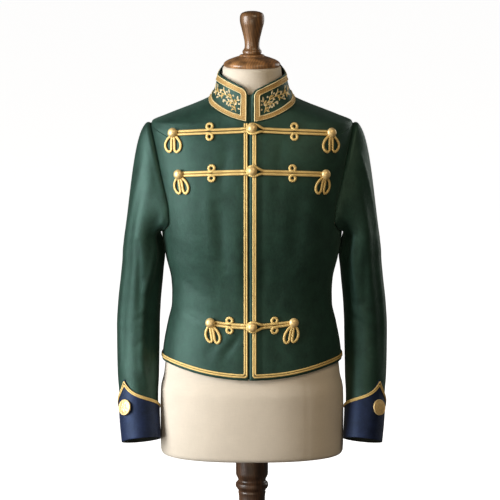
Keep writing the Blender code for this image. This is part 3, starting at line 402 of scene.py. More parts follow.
class HussarColours(bpy.types.PropertyGroup):
    """Colours of the finish, in linear light."""

    green: colour_property("Green wool", "Wool of the body and the sleeves", (0.0070, 0.0225, 0.0155))
    navy: colour_property("Navy wool", "Wool of the cuffs", (0.0065, 0.0110, 0.0360))
    lining: colour_property("Lining", "Dark cotton inside the jacket", (0.0080, 0.0130, 0.0110))
    gold: colour_property("Gold thread", "The crests of the gold cords", (0.910, 0.705, 0.285))
    # Painted shade colour for the gold cords' and the stitching's grooves and shaded sides, and also the
    # brown thread of the lace's twill.
    shade: colour_property("Thread shade", "The grooves between gold strands", (0.270, 0.120, 0.028))
    gilt: colour_property("Gilt", "The buttons' metal", (1.000, 0.730, 0.330))
    linen: colour_property("Linen", "The dress form's cover", (0.620, 0.560, 0.470))
    brown: colour_property("Brown wood", "The cap and the finial", (0.340, 0.165, 0.060))
    dark: colour_property("Dark wood", "The pole and the base", (0.105, 0.050, 0.024))


def monotone(known, values, at):
    """Values between known places, along cubic pieces whose slope is the harmonic mean of both sides."""
    step = np.diff(known)
    at = np.clip(at, known[0], known[-1])
    piece = np.clip(np.searchsorted(known, at, side="right") - 1, 0, len(known) - 2)
    a = (at - known[piece]) / step[piece]
    rate = np.diff(values) / step
    slope = np.zeros(len(known))
    same_way = rate[:-1] * rate[1:] > 0
    before = rate[:-1][same_way]
    after = rate[1:][same_way]
    slope[1:-1][same_way] = 2 * before * after / (before + after)
    slope[0] = rate[0]
    slope[-1] = rate[-1]
    return (
        (2 * a ** 3 - 3 * a ** 2 + 1) * values[piece]
        + (a ** 3 - 2 * a ** 2 + a) * step[piece] * slope[piece]
        + (3 * a ** 2 - 2 * a ** 3) * values[piece + 1]
        + (a ** 3 - a ** 2) * step[piece] * slope[piece + 1]
    )


def table_at(table, at):
    """The columns of a table at the given values of its first one."""
    rows = np.array(table, float)
    rows = rows[np.argsort(rows[:, 0])]
    return [monotone(rows[:, 0], values, at) for values in rows[:, 1:].T]


def table_columns(table, height):
    """The columns of a table in mm at the given heights in metres."""
    return table_at(table, np.asarray(height, float) / MM)


def smooth_step(low, high, value):
    """0 below low, 1 above high, and smooth between."""
    part = np.clip((value - low) / (high - low), 0, 1)
    return part * part * (3 - 2 * part)


def unit(vectors):
    """The vectors made one long."""
    return vectors / np.maximum(np.linalg.norm(vectors, axis=-1, keepdims=True), 1e-12)


def section(angle, height):
    """The plain sections: half width times sine, and depth times cosine, each to 2 over squareness."""
    half, front, back, square = table_columns(SKIN, height)
    across = np.sin(angle)
    ahead = np.cos(angle)
    depth = np.where(ahead > 0, front, back)
    x = half * np.sign(across) * np.abs(across) ** (2 / square) * MM
    y = -depth * np.sign(ahead) * np.abs(ahead) ** (2 / square) * MM
    return np.stack((x, y, height + 0 * x), -1)


def section_normal(angle, height):
    """The skin's outward direction, from small steps round and up."""
    turn = math.radians(1.0)
    rise = 1.5 * MM
    around = section(angle + turn, height) - section(angle - turn, height)
    up = section(angle, height + rise) - section(angle, height - rise)
    return unit(np.cross(around, up))


def folds_on(table, across, up):
    """Soft ridges and troughs: each height times exp of minus the squared distance over its width."""
    total = np.zeros(np.broadcast(across, up).shape)
    for x1, z1, x2, z2, width, height in table:
        run = x2 - x1
        rise = z2 - z1
        share = np.clip(((across - x1) * run + (up - z1) * rise) / (run ** 2 + rise ** 2), 0, 1)
        away = (across - x1 - share * run) ** 2 + (up - z1 - share * rise) ** 2
        taper = 0.35 + 0.65 * np.sin(np.pi * np.clip(share, 0.03, 0.97)) ** 0.6
        total += height * taper * np.exp(-away / width ** 2)
    return total * MM * bpy.context.scene.hussar_sizes.folds


def rolled_edge(x):
    """The rise of the left front's rolled edge: a quarter round from the edge, easing back beyond."""
    edge = FRONT_EDGE["left"]
    before = np.clip((EDGE_ROLL_FULL - x) / (EDGE_ROLL_FULL - edge), 0, 1)
    rise = EDGE_ROLL * np.sqrt(1 - before ** 2) * (1 - smooth_step(*EDGE_ROLL_EASE, x))
    return np.where(x > edge - 0.2 * MM, rise, 0)


def jacket(angle, height, lift):
    """A point of the jacket: the section moved out by the folds, a lift, the lap and the rolled edge."""
    angle = np.asarray(angle, float)
    height = np.asarray(height, float)
    flat = section(angle, height)
    ahead = np.cos(angle)
    lap = LAP_RISE * (1 - smooth_step(LAP_INNER, LAP_OUTER, np.abs(flat[..., 0])))
    lap = np.where(ahead > 0, lap + rolled_edge(flat[..., 0]), 0)
    x = flat[..., 0] / MM
    z = height / MM
    folds = np.where(ahead > 0, folds_on(FRONT_FOLDS, x, z), folds_on(BACK_FOLDS, x, z))
    folds = folds * smooth_step(0.05, 0.35, np.abs(ahead))
    return flat + section_normal(angle, height) * (lap + folds + lift)[..., None]


def angle_at(x, height):
    """The angle on the front at a distance from the middle."""
    half, _, _, square = table_columns(SKIN, height)
    share = np.clip(np.abs(x) / (half * MM), 0, 1)
    return np.sign(x) * np.arcsin(share ** (square / 2))


def hem_height(angle):
    """The hem: level at the sides, and lower by the cube of the cosine at the front and back."""
    drop = np.where(np.cos(angle) > 0, HEM_FRONT_DROP, HEM_BACK_DROP)
    return HEM_SIDE - drop * np.abs(np.cos(angle)) ** 3


def neck_line(turn):
    """The neckline's angles and heights: turn 0 is the centre front, 90 degrees the shoulder."""
    from_middle = np.degrees(np.arcsin(np.abs(np.sin(turn))))
    front_x, front_height = table_at(NECK_LINE, from_middle)
    back_x = table_columns(SKIN, NECK_SIDE)[0] * np.abs(np.sin(turn))
    back_height = NECK_SIDE + (NECK_BACK - NECK_SIDE) * np.cos(turn) ** 2
    at_front = np.cos(turn) > 0
    height = np.where(at_front, front_height * MM, back_height)
    side = np.where(np.sin(turn) < 0, -1.0, 1.0)
    angle = angle_at(side * np.where(at_front, front_x, back_x) * MM, height)
    return np.where(at_front, angle, side * math.pi - angle), height


def neck_turn(x):
    """The neckline's turn at a distance from the middle of the front, near that middle."""
    rows = np.array(NECK_LINE)
    return math.radians(math.copysign(np.interp(abs(x) / MM, rows[:4, 1], rows[:4, 0]), x))


def armhole(turn):
    """The armhole seam from its top (0) by the front (90 degrees) to its foot and back."""
    half_turn = np.degrees(np.arccos(np.clip(np.cos(turn), -1, 1)))
    reach = np.radians(table_at(ARMHOLE_REACH, half_turn)[0]) * np.sign(np.sin(turn))
    return math.pi / 2 - reach, ARMHOLE_CENTRE + ARMHOLE_HALF_HEIGHT * np.cos(turn)


def way_along(points):
    """The length along a line up to each of its points."""
    return np.concatenate(([0], np.cumsum(np.linalg.norm(np.diff(points, axis=0), axis=1))))


def length_share(points):
    """Each point's part of the way along a line, by length."""
    length = way_along(points)
    return length / length[-1]


def even_armhole(start, end, count):
    """Angles and heights evenly spaced by length along a stretch of the armhole."""
    turn = np.linspace(start, end, 1200)
    share = length_share(section(*armhole(turn)))
    return armhole(np.interp(np.linspace(0, 1, count), share, turn))


def curve_through(points, step):
    """Points a step apart along the Catmull-Rom curve through the given points."""
    points = np.asarray(points, float)
    ends = (2 * points[:1] - points[1:2], points, 2 * points[-1:] - points[-2:-1])
    p = np.concatenate(ends)
    t = np.linspace(0, 1, 24, endpoint=False)[None, :, None]
    a, b, c, d = (p[i:len(p) - 3 + i, None, :] for i in range(4))
    dense = 0.5 * (
        2 * b + (c - a) * t + (2 * a - 5 * b + 4 * c - d) * t ** 2 + (3 * b - a - 3 * c + d) * t ** 3
    )
    dense = np.concatenate((dense.reshape(-1, points.shape[1]), points[-1:]))
    length = way_along(dense)
    at = np.linspace(0, length[-1], max(3, round(length[-1] / step) + 1))
    return np.stack([np.interp(at, length, column) for column in dense.T], -1)


def grid_uv(points):
    """Lengths in metres along both ways of a grid, measured on its middle lines."""
    rows, columns = points.shape[0] // 2, points.shape[1] // 2
    return np.stack(np.meshgrid(way_along(points[:, columns]), way_along(points[rows]), indexing="ij"), -1)


def grid_normals(points, closed=False):
    """Unit normals of a grid, across its first way times its second; closed joins the first way."""
    if closed:
        ring = np.concatenate((points[-2:-1], points, points[1:2]))
        first = (ring[2:] - ring[:-2]) / 2
    else:
        first = np.gradient(points, axis=0)
    return unit(np.cross(first, np.gradient(points, axis=1)))


class Piece:
    """Grids of points that become one mesh, welded where they meet."""

    def __init__(self, name):
        self.name = name
        self.points = []
        self.faces = []
        self.uv = []
        self.slots = []
        self.count = 0

    def add(self, points, uv=None, slot=0):
        """A grid; its faces look along its first way times its second way."""
        a, b = points.shape[:2]
        uv = grid_uv(points) if uv is None else uv
        first, second = np.meshgrid(np.arange(a - 1), np.arange(b - 1), indexing="ij")
        corners = [(first, second), (first + 1, second), (first + 1, second + 1), (first, second + 1)]
        numbers = np.stack([i * b + j for i, j in corners], -1).reshape(-1, 4)
        self.faces.append(numbers + self.count)
        self.uv.append(np.stack([uv[i, j] for i, j in corners], -2).reshape(-1, 2))
        self.points.append(points.reshape(-1, 3))
        self.slots.append(np.full(len(numbers), slot))
        self.count += a * b
        return self

    def mirror(self):
        """The mirror image in x = 0 of all that was added."""
        self.points = [points * np.array((-1.0, 1.0, 1.0)) for points in self.points]
        self.faces = [faces[:, ::-1] for faces in self.faces]
        self.uv = [uv.reshape(-1, 4, 2)[:, ::-1].reshape(-1, 2) for uv in self.uv]
        return self

    def finish(self, materials, *nodes, slot):
        """Make the object, give it its materials, and put it in the place of CAD nodes."""
        mesh = bpy.data.meshes.new(self.name)
        mesh.from_pydata(np.concatenate(self.points), [], np.concatenate(self.faces).tolist())
        layer = mesh.uv_layers.new(name="UVMap")
        layer.data.foreach_set("uv", np.concatenate(self.uv).ravel())
        mesh.polygons.foreach_set("material_index", np.concatenate(self.slots).astype(np.int32))
        for material in materials:
            mesh.materials.append(material)
        work = bmesh.new()
        work.from_mesh(mesh)
        bmesh.ops.remove_doubles(work, verts=work.verts, dist=2e-6)
        bmesh.ops.dissolve_degenerate(work, edges=work.edges, dist=1e-7)
        work.to_mesh(mesh)
        work.free()
        mesh.shade_smooth()
        piece = bpy.data.objects.new(self.name, mesh)
        bpy.context.scene.collection.objects.link(piece)
        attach(piece, "root")
        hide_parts(*nodes)
        return piece


def round_rim(outer, inner, away, steps=5):
    """A half-round rim from an inner border to an outer one, standing away from the cloth's edge."""
    turn = np.linspace(-math.pi / 2, math.pi / 2, steps)[None, :, None]
    middle = (outer + inner)[:, None] / 2
    half = (outer - inner)[:, None] / 2
    reach = np.linalg.norm(half, axis=-1, keepdims=True) * 0.45
    return middle + half * np.sin(turn) + away[:, None] * reach * np.cos(turn)


def cloth_shell(piece, outer, thickness, closed=False):
    """A wall of cloth: the outer grid, the same grid moved in along its normals, and round rims."""
    inner = outer - grid_normals(outer, closed) * thickness
    uv = grid_uv(outer)
    piece.add(outer, uv)
    piece.add(inner[::-1], uv[::-1], slot=1)
    foot_away = unit(outer[:, 0] - outer[:, 1])
    head_away = unit(outer[:, -1] - outer[:, -2])
    if closed:
        piece.add(round_rim(outer[:, 0], inner[:, 0], foot_away))
        piece.add(round_rim(outer[::-1, -1], inner[::-1, -1], head_away[::-1]))
        return piece
    last_away = unit(outer[-1] - outer[-2])
    first_away = unit(outer[0] - outer[1])
    corner_1 = unit(foot_away[-1] + last_away[0])[None]
    corner_2 = unit(last_away[-1] + head_away[-1])[None]
    corner_3 = unit(head_away[0] + first_away[-1])[None]
    corner_4 = unit(first_away[0] + foot_away[0])[None]
    away = np.concatenate((
        corner_4, foot_away[1:-1], corner_1, last_away[1:-1], corner_2, head_away[-2:0:-1], corner_3,
        first_away[-2:0:-1], corner_4,
    ))
    border = [
        np.concatenate((grid[:-1, 0], grid[-1, :-1], grid[:0:-1, -1], grid[0, :0:-1], grid[:1, 0]))
        for grid in (outer, inner)
    ]
    piece.add(round_rim(border[0], border[1], away))
    return piece


def seam_dip(points, first=False, last=False, depth=0.9 * MM, reach=2.6 * MM):
    """Press a grid in beside its first or last edge: depth times exp of minus distance squared."""
    normals = grid_normals(points)
    total = np.zeros(points.shape[:2])
    across = np.linalg.norm(np.diff(points, axis=0), axis=-1)
    from_first = np.concatenate((np.zeros((1, points.shape[1])), np.cumsum(across, axis=0)))
    for wanted, distance in ((first, from_first), (last, from_first[-1:] - from_first)):
        if wanted:
            total += np.exp(-(distance / reach) ** 2)
    return points - normals * (depth * np.clip(total, 0, 1))[..., None]


def crowd(count, near=0.5):
    """Shares from 0 to 1 that lie closer together at both ends."""
    t = np.linspace(0, 1, count)
    return t - near * np.sin(TAU * t) / TAU


def side_line(foot_turn, low_rows, arm_rows, high_rows):
    """A panel's side border, up the side seam, round the armhole and along the shoulder, with shares."""
    low = np.linspace(HEM_SIDE, ARMHOLE_CENTRE - ARMHOLE_HALF_HEIGHT, low_rows)[:-1]
    arm_angle, arm_height = even_armhole(foot_turn, 0.0, arm_rows)
    high = np.linspace(arm_height[-1], NECK_SIDE, high_rows)[1:]
    angle = np.concatenate((np.full(len(low), math.pi / 2), arm_angle, np.full(len(high), math.pi / 2)))
    height = np.concatenate((low, arm_height, high))
    return angle, height, length_share(section(angle, height))


def front_points(side, columns=92):
    """The outer points of one front: first way toward +X, second way up."""
    sign = 1.0 if side == "left" else -1.0
    side_angle, side_height, share = side_line(math.pi, 56, 76, 26)
    edge_x = sign * FRONT_EDGE[side]
    spread = crowd(columns, 0.7)
    start = neck_turn(edge_x)
    neck = neck_line(start + spread * (math.pi / 2 - start))
    edge_low = float(hem_height(np.array(0.0)))
    edge_height = edge_low + share * (neck[1][0] - edge_low)
    edge_angle = angle_at(edge_x, edge_height)
    low_angle = edge_angle[0] + spread * (math.pi / 2 - edge_angle[0])
    hem = (low_angle, hem_height(low_angle))
    angle, height = patch(hem, neck, (edge_angle, edge_height), (side_angle, side_height), share, spread)
    points = jacket(angle * sign, height, np.zeros(angle.shape))
    on_seam = np.abs(side_angle - math.pi / 2) < 1e-6
    points[-1, on_seam, 1] = -SEAM_GAP / 2
    points[0, :, 0] = FRONT_EDGE[side]
    return points if sign > 0 else points[::-1]


def patch(bottom, top, left, right, share, spread):
    """A grid of angles and heights: the blend of two sides, bowed by what the two ends bow."""
    across = spread[:, None]
    up = share[None, :]
    result = []
    for low, high, near, far in zip(bottom, top, left, right):
        sides = (1 - across) * near[None, :] + across * far[None, :]
        low_bow = low[:, None] - ((1 - across) * low[0] + across * low[-1])
        high_bow = high[:, None] - ((1 - across) * high[0] + across * high[-1])
        result.append(sides + (1 - up) * low_bow + up * high_bow)
    return result


def back_points(columns=66):
    """The outer points of the back, from the wearer's left side seam to the right one."""
    side_angle, side_height, share = side_line(-math.pi, 52, 70, 24)
    middle_low = HEM_SIDE - HEM_BACK_DROP
    middle_height = middle_low + share * (NECK_BACK - middle_low)
    spread = crowd(columns, 0.5)
    run = math.pi / 2 + spread * math.pi / 2
    hem = (run, hem_height(run))
    middle = (np.full(len(side_height), math.pi), middle_height)
    angle, height = patch(hem, neck_line(run), (side_angle, side_height), middle, share, spread)
    angle = np.concatenate((angle, TAU - angle[-2::-1]))
    height = np.concatenate((height, height[-2::-1]))
    points = jacket(angle, height, np.zeros(angle.shape))
    on_seam = np.abs(side_angle - math.pi / 2) < 1e-6
    points[0, on_seam, 1] = SEAM_GAP / 2
    points[-1, on_seam, 1] = SEAM_GAP / 2
    return points


def collar_front_depth(height):
    """How far forward the collar stands at the centre, at a height."""
    foot = -float(jacket(np.array(0.0), np.array(NECK_FRONT), np.array(0.0))[1])
    part = np.clip((height - NECK_FRONT) / (COLLAR_TOP_FRONT - NECK_FRONT), 0, 1.2)
    return foot + (COLLAR_TOP_FRONT_DEPTH - foot) * part


def underlap_points():
    """The strip behind the opening: under the skin on the body, behind the collar above it."""
    cloth = bpy.context.scene.hussar_sizes.cloth
    across = UNDERLAP_MIDDLE + np.linspace(-1, 1, 15) * UNDERLAP_HALF_WIDTH
    hem = float(hem_height(np.array(0.0))) + 2 * MM
    x, height = np.meshgrid(across, np.linspace(hem, UNDERLAP_TOP, 190), indexing="ij")
    on_body = -section(angle_at(x, height), height)[..., 1] - UNDERLAP_UNDER_SKIN
    bow = x ** 2 / (2 * COLLAR_TOP_HALF_WIDTH)
    in_collar = collar_front_depth(height) - cloth - UNDERLAP_BEHIND_COLLAR - bow
    share = smooth_step(UNDERLAP_LEAVES_BODY, UNDERLAP_IN_COLLAR, height)
    depth = on_body + share * (in_collar - on_body)
    return np.stack((x, -depth, height), -1)


def collar_point(angle, part, lift):
    """The collar: a straight line from its foot on the neckline to its top, hollowed, plus a lift."""
    foot_angle, foot_height = neck_line(angle)
    foot = jacket(foot_angle, foot_height, np.zeros(np.shape(angle)))
    foot[..., 2] += COLLAR_FOOT_GAP
    across = np.sin(angle)
    ahead = np.cos(angle)
    depth = np.where(ahead > 0, COLLAR_TOP_FRONT_DEPTH, COLLAR_TOP_BACK_DEPTH)
    top_front = COLLAR_TOP_FRONT + (COLLAR_TOP_SIDE - COLLAR_TOP_FRONT) * np.abs(across)
    rise = smooth_step(0, COLLAR_TOP_BACK_FROM, -ahead)
    top_back = COLLAR_TOP_SIDE + (COLLAR_TOP_BACK - COLLAR_TOP_SIDE) * rise
    top = np.stack(
        (COLLAR_TOP_HALF_WIDTH * across, -depth * ahead, np.where(ahead > 0, top_front, top_back)), -1
    )
    out = np.stack((across, -ahead, np.zeros(np.shape(across))), -1)
    hollow = -COLLAR_HOLLOW * part * (1 - part) ** COLLAR_HOLLOW_FADE * np.abs(across)
    shifted = COLLAR_TOP_HALF_WIDTH * across + FRONT_EDGE["left"] - COLLAR_END["left"]
    roll = np.where(ahead > 0, rolled_edge(shifted), 0) * part
    return foot + (top - foot) * part[..., None] + out * (hollow + lift + roll)[..., None]


def collar_height(angle):
    """The collar's height along its slope."""
    flat = np.zeros(np.shape(angle))
    return np.linalg.norm(collar_point(angle, flat + 1, flat) - collar_point(angle, flat, flat), axis=-1)


def round_corner(radius, away):
    """How far a rounded corner draws down an edge: a quarter circle by the distance from its end."""
    beyond = np.clip(1 - np.abs(away) / radius, 0, 1)
    return radius * (1 - np.sqrt(1 - beyond ** 2))


def collar_corner(angle, part):
    """Round off the collar's upper front corners: the part of the way up, drawn down there."""
    x = COLLAR_TOP_HALF_WIDTH * np.sin(angle)
    middle = (COLLAR_END["left"] + COLLAR_END["right"]) / 2
    end = np.where(x > middle, COLLAR_END["left"], COLLAR_END["right"])
    drop = round_corner(COLLAR_CORNER, x - end) / (COLLAR_TOP_FRONT - NECK_FRONT)
    return part * np.where(np.cos(angle) > 0, 1 - drop, 1)


def collar_columns(left_margin, right_margin, count=240):
    """The collar's column angles, from its left end round the back to its right end."""
    low = math.asin((COLLAR_END["left"] + left_margin) / COLLAR_TOP_HALF_WIDTH)
    high = TAU + math.asin((COLLAR_END["right"] - right_margin) / COLLAR_TOP_HALF_WIDTH)
    return low + crowd(count, 0.75) * (high - low)


def sleeve_ring(turn, height, lift):
    """The sleeve at +X: an ellipse at each height, tipped up at the front; turn 0 faces outward."""
    across, back, half_width, half_depth, tip = table_columns(SLEEVE, height)
    out = np.cos(turn)
    ahead = np.sin(turn)
    long_way = np.sqrt((out / half_width) ** 2 + (ahead / half_depth) ** 2)
    reach_x = half_width * MM * out + lift * out / half_width / long_way
    reach_y = half_depth * MM * ahead + lift * ahead / half_depth / long_way
    tip = np.radians(tip)
    x = across * MM + reach_x
    y = back * MM - reach_y * np.cos(tip)
    return np.stack((x, y, height + reach_y * np.sin(tip)), -1)


def sleeve_fold_lift(side, turn, height):
    """The lift of one sleeve's folds, laid out flat by turn times radius, and carried across turn 0."""
    degrees = np.degrees(turn) % 360
    arc = SLEEVE_RADIUS * np.radians(1)
    lift = 0
    for shift in (-360, 0, 360):
        table = [
            ((a + shift) * arc, low, (b + shift) * arc, high, width, deep)
            for a, low, b, high, width, deep in SLEEVE_FOLDS[side]
        ]
        lift = lift + folds_on(table, degrees * arc, height / MM)
    return lift


def sleeve_points(side, columns=113, head_rows=44, rows=116):
    """One sleeve at +X: its head leaves the armhole square and turns down into the tube.

    The head's columns are cubic curves with two pulls; the tube's rows are the table's ellipses.
    """
    turn = np.linspace(0, TAU, columns)
    half = (columns + 1) // 2
    front = np.array(even_armhole(0.0, math.pi, half))
    back = np.array(even_armhole(TAU, math.pi, half))[:, -2::-1]
    angle, height = np.concatenate((front, back), axis=1)
    cloth = bpy.context.scene.hussar_sizes.cloth
    start = section(angle, height) - section_normal(angle, height) * cloth / 2
    outward = section_normal(angle, height)
    inward = start[:-1].mean(axis=0) - start
    inward = unit(inward - outward * np.sum(inward * outward, axis=1, keepdims=True))
    start = start + inward * 0.5 * MM
    top = SLEEVE[0][0] * MM
    end = sleeve_ring(turn, np.full(turn.shape, top), np.zeros(turn.shape))
    distance = np.linalg.norm(end - start, axis=1, keepdims=True)
    crown = np.clip(np.cos(turn), 0, 1)[:, None] ** 2
    upward = np.array((0, 0, 1.0))
    leave = start + outward * (0.09 * distance + 5 * MM + CROWN_OUT * crown) + upward * CROWN_UP * crown
    arrive = end + upward * 0.40 * distance - np.array((1.0, 0, 0)) * CROWN_LEAN * crown
    part = (np.linspace(0, 1, head_rows + 1)[:-1] ** 1.25)[:, None, None]
    rest = 1 - part
    head = rest ** 3 * start + 3 * rest ** 2 * part * leave + 3 * rest * part ** 2 * arrive + part ** 3 * end
    wrist = SLEEVE_END - CUFF_SLANT * np.cos(turn)
    down = np.linspace(0, 1, rows)[:, None]
    tube_height = top + down * (wrist - top)[None, :]
    tube = sleeve_ring(np.broadcast_to(turn, tube_height.shape), tube_height, np.zeros(tube_height.shape))
    points = np.concatenate((head, tube))[::-1].transpose(1, 0, 2)
    normals = grid_normals(points, closed=True)
    around = np.broadcast_to(turn[:, None], points.shape[:2])
    lift = sleeve_fold_lift(side, around, points[..., 2])
    below_seam = np.linalg.norm(points - start[:, None], axis=-1)
    lift = lift * smooth_step(2 * MM, 18 * MM, below_seam)
    lift = lift * smooth_step(CUFF_TOP - 10 * MM, CUFF_TOP + 60 * MM, points[..., 2])
    rope = np.clip(np.cos(around), 0, 1) ** 0.7
    lift = lift + 1.3 * MM * rope * np.exp(-((below_seam - 8 * MM) / (6 * MM)) ** 2)
    lift = lift - 0.5 * MM * np.exp(-(below_seam / (3.2 * MM)) ** 2)
    for seam in SLEEVE_SEAMS:
        away = SLEEVE_RADIUS * MM * np.abs(around - seam)
        lift = lift - 0.45 * MM * np.exp(-(away / (1.3 * MM)) ** 2)
    return points - normals * lift[..., None]


def cuff_edge(turn):
    """The cuff's upper edge and its slope: a rise that fades exponentially beside one sharp point,
    less a sink that grows with the square of the turn from there to the back."""
    past = (turn - CUFF_POINT_ANGLE + math.pi) % TAU - math.pi
    away = np.abs(past)
    sink_range = np.where(past > 0, CUFF_SINK_INNER, CUFF_SINK_OUTER)
    share = np.clip(away / sink_range, 0, 1)
    point = CUFF_POINT_RISE * np.exp(-away / CUFF_POINT_SPREAD)
    fall = point / CUFF_POINT_SPREAD + 2 * CUFF_TOP_SINK * share / sink_range * (share < 1)
    return CUFF_TOP + point - CUFF_TOP_SINK * share ** 2, fall / CUFF_RADIUS


def cord_rings(path, up, width, height, lay, sides=14, strands=3, relief=0.085, way=1):
    """A laid cord: an ellipse carried along a path, its radius rippled by strands that turn with length."""
    tangent = unit(np.gradient(path, axis=0))
    side = unit(np.cross(tangent, up))
    over = np.cross(side, tangent)
    length = way_along(path)
    theta = np.linspace(0, TAU, sides + 1)[None, :]
    phase = strands * theta - way * TAU * strands * length[:, None] / lay
    blunt = height * 0.5
    near_end = np.clip(np.minimum(length, length[-1] - length) / blunt, 0, 1)
    size = np.sqrt(np.clip(1 - (1 - near_end) ** 2, 0, 1))[:, None]
    swell = size * (1 + relief * (np.abs(np.sin(phase / 2)) * 2 - 1))
    ring = (
        path[:, None]
        + side[:, None] * (np.cos(theta) * swell * width / 2)[..., None]
        + over[:, None] * (np.sin(theta) * swell * height / 2)[..., None]
    )
    turns = np.broadcast_to(way * length[:, None] / lay, phase.shape)
    uv = np.stack((np.broadcast_to(theta / TAU, phase.shape), turns), -1)
    return ring.transpose(1, 0, 2), uv.transpose(1, 0, 2)


def add_cord(piece, path, up, width, height, way=1, sides=14):
    """Lay one cord into a piece; a point every millimetre or less is enough for its strands."""
    lay = bpy.context.scene.hussar_sizes.lay * width / (5.5 * MM)
    rings, uv = cord_rings(path, up, width, height, max(lay, 6 * MM), sides=sides, way=way)
    return piece.add(rings[::-1], uv[::-1])


def turned_grid(profile, columns, per_step=5):
    """A turned surface: the profile, smoothed by its own length, carried round the Z axis."""
    outline = np.array(profile, float) * MM
    length = way_along(outline)
    last = len(outline) - 1
    at = np.interp(np.linspace(0, last, last * per_step + 1), np.arange(len(outline)), length)
    radius = monotone(length, outline[:, 0], at)[None, :]
    height = monotone(length, outline[:, 1], at)[None, :]
    turn = np.linspace(0, TAU, columns + 1)[:, None]
    points = np.stack((radius * np.cos(turn), radius * np.sin(turn), height + 0 * turn), -1)
    return points[:, ::-1]


def stand_on(points, place, outward):
    """Turn points about their own +Z onto an outward direction and move them to a place."""
    outward = unit(np.asarray(outward, float))
    right = unit(np.cross((0.0, 0.0, 1.0), outward))
    up = np.cross(outward, right)
    return points @ np.stack((right, up, outward)) + place


class Value:
    """One shader number; sums, products and the like on it add Math nodes."""

    def __init__(self, maker, socket):
        self.maker = maker
        self.socket = socket

    def math(self, operation, *terms, **settings):
        node = self.maker.node("ShaderNodeMath", {"operation": operation, **settings}, list(terms))
        return Value(self.maker, node.outputs[0])

    def __add__(self, other):
        return self.math("ADD", self, other)

    def __sub__(self, other):
        return self.math("SUBTRACT", self, other)

    def __rsub__(self, other):
        return self.math("SUBTRACT", other, self)

    def __mul__(self, other):
        return self.math("MULTIPLY", self, other)

    def __truediv__(self, other):
        return self.math("DIVIDE", self, other)

    def __pow__(self, other):
        return self.math("POWER", self, other)

    def sin(self):
        return self.math("SINE", self)

    def abs(self):
        return self.math("ABSOLUTE", self)

    def clamp(self):
        return self.math("ADD", self, 0.0, use_clamp=True)

    __radd__ = __add__
    __rmul__ = __mul__


class Maker:
    """Adds nodes to one material."""

    def __init__(self, name):
        self.material = bpy.data.materials.new(name)
        self.material.use_nodes = True
        self.tree = self.material.node_tree
        self.shader = self.tree.nodes["Principled BSDF"]

    def put(self, socket, value):
        """Set a socket, or link it if the value is a socket."""
        source = getattr(value, "socket", value)
        if isinstance(source, bpy.types.NodeSocket):
            self.tree.links.new(source, socket)
            return
        socket.default_value = (*source, 1) if socket.type == "RGBA" and len(source) == 3 else source

    def node(self, kind, settings, values):
        """A node with its settings, then its sockets' values, by name or in order."""
        node = self.tree.nodes.new(kind)
        for key, setting in settings.items():
            setattr(node, key, setting)
        shown = [socket for socket in node.inputs if socket.enabled]
        if isinstance(values, dict):
            for key, value in values.items():
                self.put(next(socket for socket in shown if socket.name == key), value)
        else:
            for socket, value in zip(shown, values):
                self.put(socket, value)
        return node

    def out(self, node, name):
        """The named output of a node."""
        return Value(self, next(s for s in node.outputs if s.name == name and s.enabled))

    def coords(self):
        """The object's own coordinates."""
        return self.out(self.node("ShaderNodeTexCoord", {}, {}), "Object")

    def uv(self):
        """The two numbers of the piece's own UV map."""
        map_node = self.node("ShaderNodeUVMap", {"uv_map": "UVMap"}, {})
        parts = self.node("ShaderNodeSeparateXYZ", {}, [self.out(map_node, "UV")])
        return self.out(parts, "X"), self.out(parts, "Y")

    def point(self):
        """The three object coordinates as numbers."""
        parts = self.node("ShaderNodeSeparateXYZ", {}, [self.coords()])
        return [self.out(parts, axis) for axis in "XYZ"]

    def stretched(self, scale):
        """Object coordinates with each axis scaled."""
        node = self.node("ShaderNodeVectorMath", {"operation": "MULTIPLY"}, [self.coords(), scale])
        return self.out(node, "Vector")

    def noise(self, size, detail=2.0, rough=0.5, vector=None):
        """Noise whose lumps are about the given size in metres."""
        values = {"Scale": 1 / size, "Detail": detail, "Roughness": rough}
        values["Vector"] = self.coords() if vector is None else vector
        node = self.node("ShaderNodeTexNoise", {}, values)
        named = "Factor" if "Factor" in [socket.name for socket in node.outputs] else "Fac"
        return self.out(node, named)

    def mix(self, share, low, high):
        """A colour between two colours."""
        node = self.node("ShaderNodeMix", {"data_type": "RGBA"}, {"Factor": share, "A": low, "B": high})
        return self.out(node, "Result")

    def bump(self, height, distance, strength=1.0, below=None):
        """A normal bent by a height, over another bump if there is one."""
        values = {"Strength": strength, "Distance": distance, "Height": height}
        if below is not None:
            values["Normal"] = below
        return self.out(self.node("ShaderNodeBump", {}, values), "Normal")

    def finish(self, linked, **constants):
        """Feed the shader: links by name, and constants by name with spaces as underscores."""
        for name, value in linked.items():
            self.put(self.shader.inputs[name], value)
        for name, value in constants.items():
            self.put(self.shader.inputs[name.replace("_", " ")], value)
        return self.material


def scaled(colour, share):
    """A colour made darker or lighter by one factor."""
    return tuple(min(1.0, part * share) for part in colour)


def wool(name, colour, sheen, gloss=0.62):
    """Fulled wool: a short nap over fine twill, mottled, a little paler where the nap stands up."""
    m = Maker(name)
    u, v = m.uv()
    nap = m.noise(0.9 * MM, 3.0, 0.65)
    cloud = m.noise(24 * MM, 3.0, 0.6)
    speck = m.noise(4.0 * MM, 2.0, 0.6)
    twill = ((u + v) * (TAU / (1.1 * MM))).sin() * 0.5 + 0.5
    tone = (cloud * 1.5 + speck * 0.9 + nap * 0.6 - 1.0).clamp()
    base = m.mix(tone, scaled(colour, 0.45), scaled(colour, 1.65))
    height = nap * 0.7 + speck * 0.6 + twill * 0.25
    normal = m.bump(height, 0.34 * MM, 0.65, m.bump(cloud, 2.0 * MM, 0.35))
    rough = speck * 0.12 + 0.46
    return m.finish(
        {"Base Color": base, "Roughness": rough, "Normal": normal},
        Specular_IOR_Level=gloss,
        Specular_Tint=sheen,
        Sheen_Weight=0.08,
        Sheen_Roughness=0.5,
        Sheen_Tint=sheen,
    )


